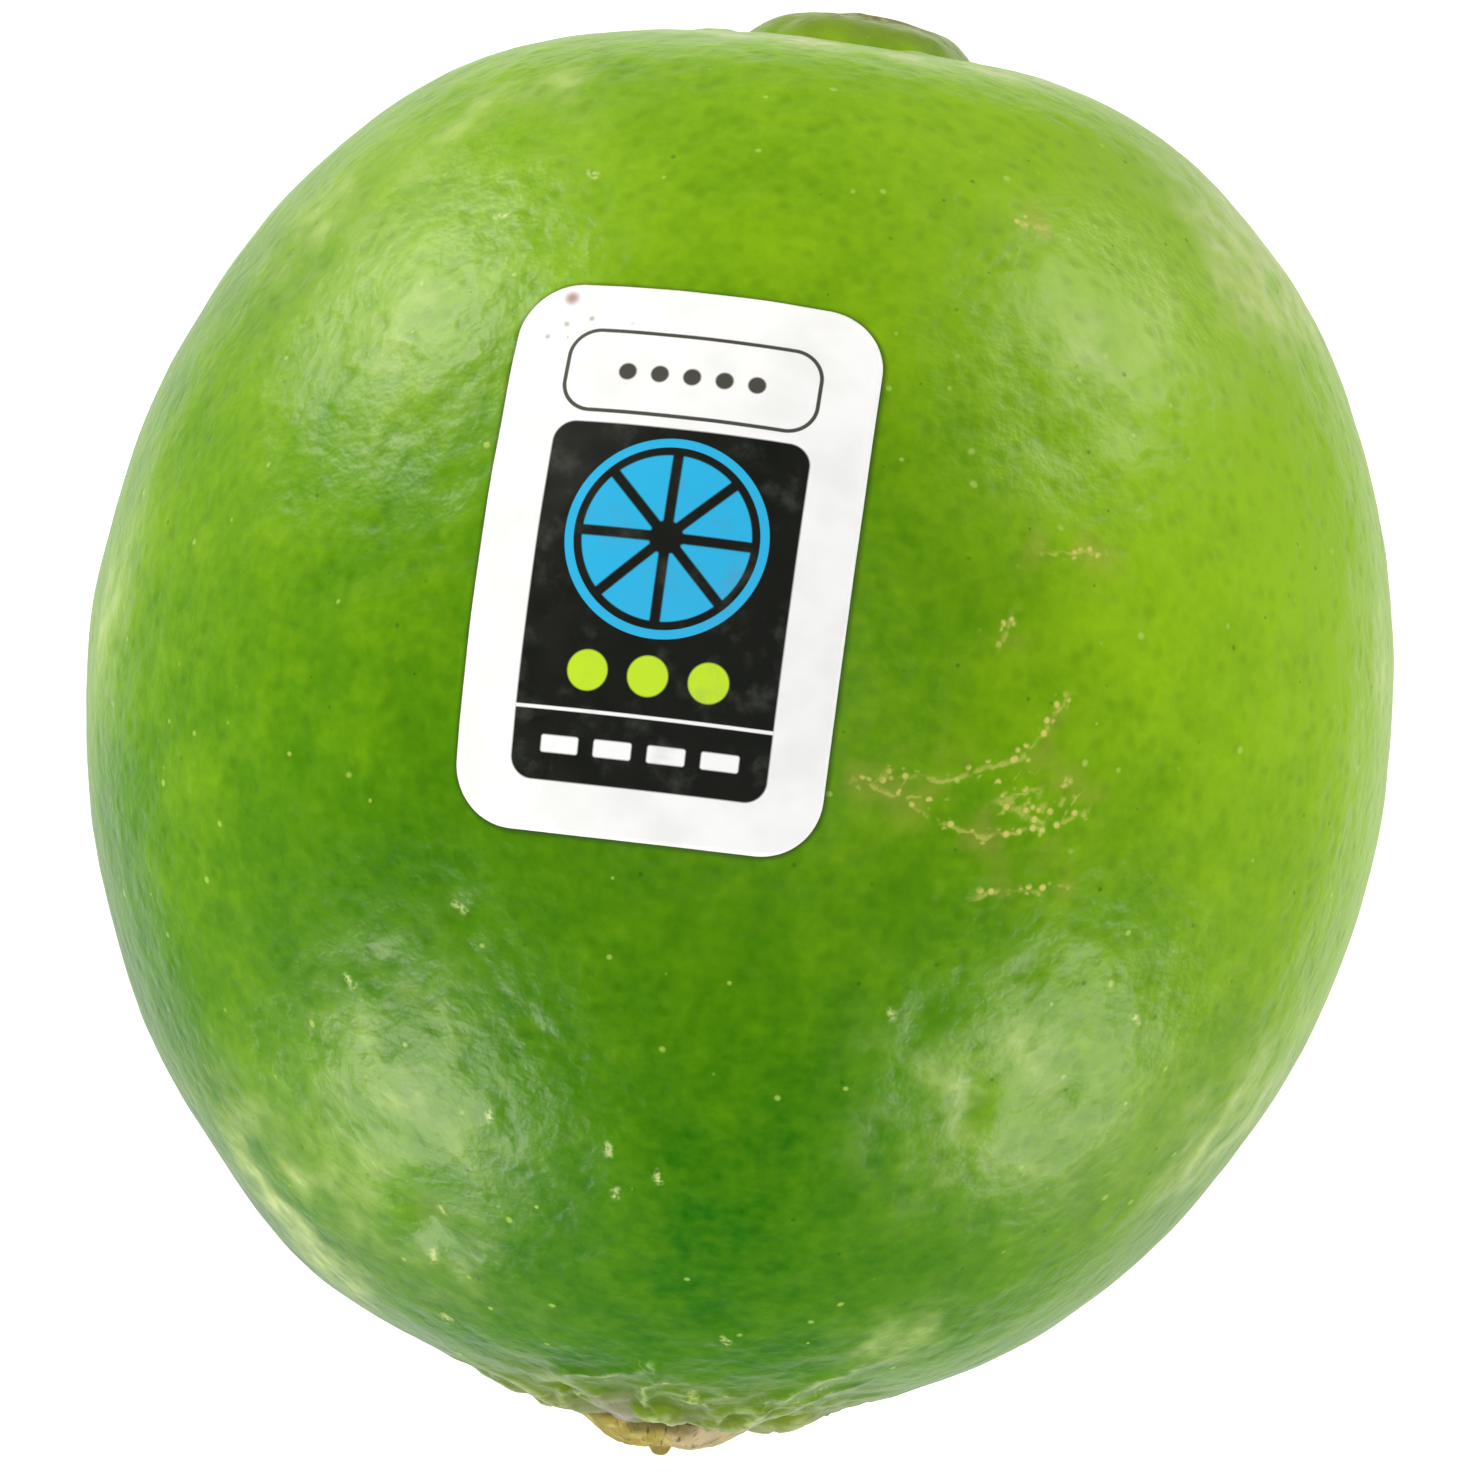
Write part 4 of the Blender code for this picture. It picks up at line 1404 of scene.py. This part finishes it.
def add_lamp(name, azimuth, elevation, width, height, energy, distance, tint, glossy=True):
    """A soft area light that faces the fruit from a direction given in degrees."""
    around, up = math.radians(azimuth), math.radians(elevation)
    direction = Vector((math.cos(up) * math.cos(around), math.cos(up) * math.sin(around), math.sin(up)))
    lamp = bpy.data.lights.new(name, "AREA")
    lamp.shape = "RECTANGLE"
    lamp.size = width
    lamp.size_y = height
    lamp.energy = energy
    lamp.color = tint
    softbox = bpy.data.objects.new(name, lamp)
    softbox.location = MIDDLE + direction * distance
    softbox.rotation_euler = direction.to_track_quat("Z", "Y").to_euler()
    softbox.visible_camera = False
    softbox.visible_glossy = glossy
    bpy.context.scene.collection.objects.link(softbox)


def add_world(settings):
    """A white room: light from the sides, less from above, and plain white where the camera sees it."""
    world = bpy.data.worlds.new("room")
    world.use_nodes = True
    graph = Graph(world.node_tree)
    background = world.node_tree.nodes["Background"]
    up = graph.split(graph.add("ShaderNodeTexCoord", (), "Generated"), 2)
    light = graph.ramp(up, 0.0, 0.6, settings.horizon, settings.zenith)
    seen = graph.add("ShaderNodeLightPath", (), "Is Camera Ray")
    strength = graph.add("ShaderNodeMix", {0: seen, 2: light, 3: 1.0}, 0)
    graph.tree.links.new(strength, background.inputs["Strength"])
    background.inputs["Color"].default_value = (1, 1, 1, 1)
    bpy.context.scene.world = world


def add_floor(settings):
    """A white floor, which the peel mirrors only near the fruit, as if dark cloth lay further out."""
    bm = bmesh.new()
    bmesh.ops.create_grid(bm, x_segments=1, y_segments=1, size=FLOOR_HALF)
    mesh = mesh_of("floor", bm)
    material, graph, shader = new_material("White floor")
    seen = graph.add("ShaderNodeLightPath", (), "Is Camera Ray")
    inputs = {"Color": (1, 1, 1, 1), "Strength": graph.times(seen, settings.floor_glow)}
    both = graph.tree.nodes.new("ShaderNodeAddShader")
    graph.tree.links.new(shader.outputs[0], both.inputs[0])
    graph.tree.links.new(graph.add("ShaderNodeEmission", inputs), both.inputs[1])
    graph.tree.links.new(both.outputs[0], graph.tree.nodes["Material Output"].inputs["Surface"])
    away = graph.vector("LENGTH", graph.add("ShaderNodeTexCoord", (), "Object"), out="Value")
    far = graph.ramp(away, settings.sheet * BRIGHT_SHARE, settings.sheet, 0.0, FAR_DARKNESS)
    mirrored = graph.times(far, seen.node.outputs["Is Glossy Ray"])
    plug(graph, shader, Base_Color=graph.mix(mirrored, settings.floor_colour, (0, 0, 0)))
    shader.inputs["Roughness"].default_value = FLOOR_ROUGHNESS
    mesh.materials.append(material)
    floor = bpy.data.objects.new("floor", mesh)
    bpy.context.scene.collection.objects.link(floor)


class LIME_OT_studio(bpy.types.Operator):
    """Makes the camera, the white floor, the room and the softboxes"""

    bl_idname = "lime.studio"
    bl_label = "Make the studio"

    def execute(self, context):
        settings = context.scene.lime_studio
        add_camera(settings)
        add_world(settings)
        add_floor(settings)
        for name, azimuth, elevation, share in SOFTBOXES:
            energy = settings.box_power * share
            add_lamp(name, azimuth, elevation, *BOX_SIZE, energy, BOX_DISTANCE, WARM)
        energy = settings.ceiling_power
        add_lamp("ceiling", 0.0, 90.0, *CEILING_SIZE, energy, CEILING_DISTANCE, WHITE, glossy=False)
        context.scene.view_settings.view_transform = "Standard"
        return {"FINISHED"}


class LIME_PT_pieces(bpy.types.Panel):
    """Lists the pieces of the lime and their settings"""

    bl_idname = "LIME_PT_pieces"
    bl_label = "Lime"
    bl_space_type = "VIEW_3D"
    bl_region_type = "UI"
    bl_category = "Lime"

    def draw(self, context):
        for operator, group in PIECES:
            box = self.layout.box()
            box.operator(operator.bl_idname)
            settings = getattr(context.scene, group)
            for name in settings.__annotations__:
                box.prop(settings, name)


PIECES = (
    (LIME_OT_peel, "lime_peel"),
    (LIME_OT_stem_button, "lime_stem_button"),
    (LIME_OT_label, "lime_label"),
    (LIME_OT_studio, "lime_studio"),
)
GROUPS = {
    "lime_peel": LIME_PG_peel,
    "lime_stem_button": LIME_PG_stem_button,
    "lime_label": LIME_PG_label,
    "lime_studio": LIME_PG_studio,
}
CLASSES = (*GROUPS.values(), *(operator for operator, _ in PIECES), LIME_PT_pieces)


def register():
    for kind in CLASSES:
        bpy.utils.register_class(kind)
    for name, kind in GROUPS.items():
        setattr(bpy.types.Scene, name, bpy.props.PointerProperty(type=kind))


def unregister():
    for name in GROUPS:
        delattr(bpy.types.Scene, name)
    for kind in reversed(CLASSES):
        bpy.utils.unregister_class(kind)


def main():
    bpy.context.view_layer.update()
    register()
    bpy.ops.lime.peel()
    bpy.ops.lime.stem_button()
    bpy.ops.lime.label()
    bpy.ops.lime.studio()


if __name__ == "__main__":
    main()
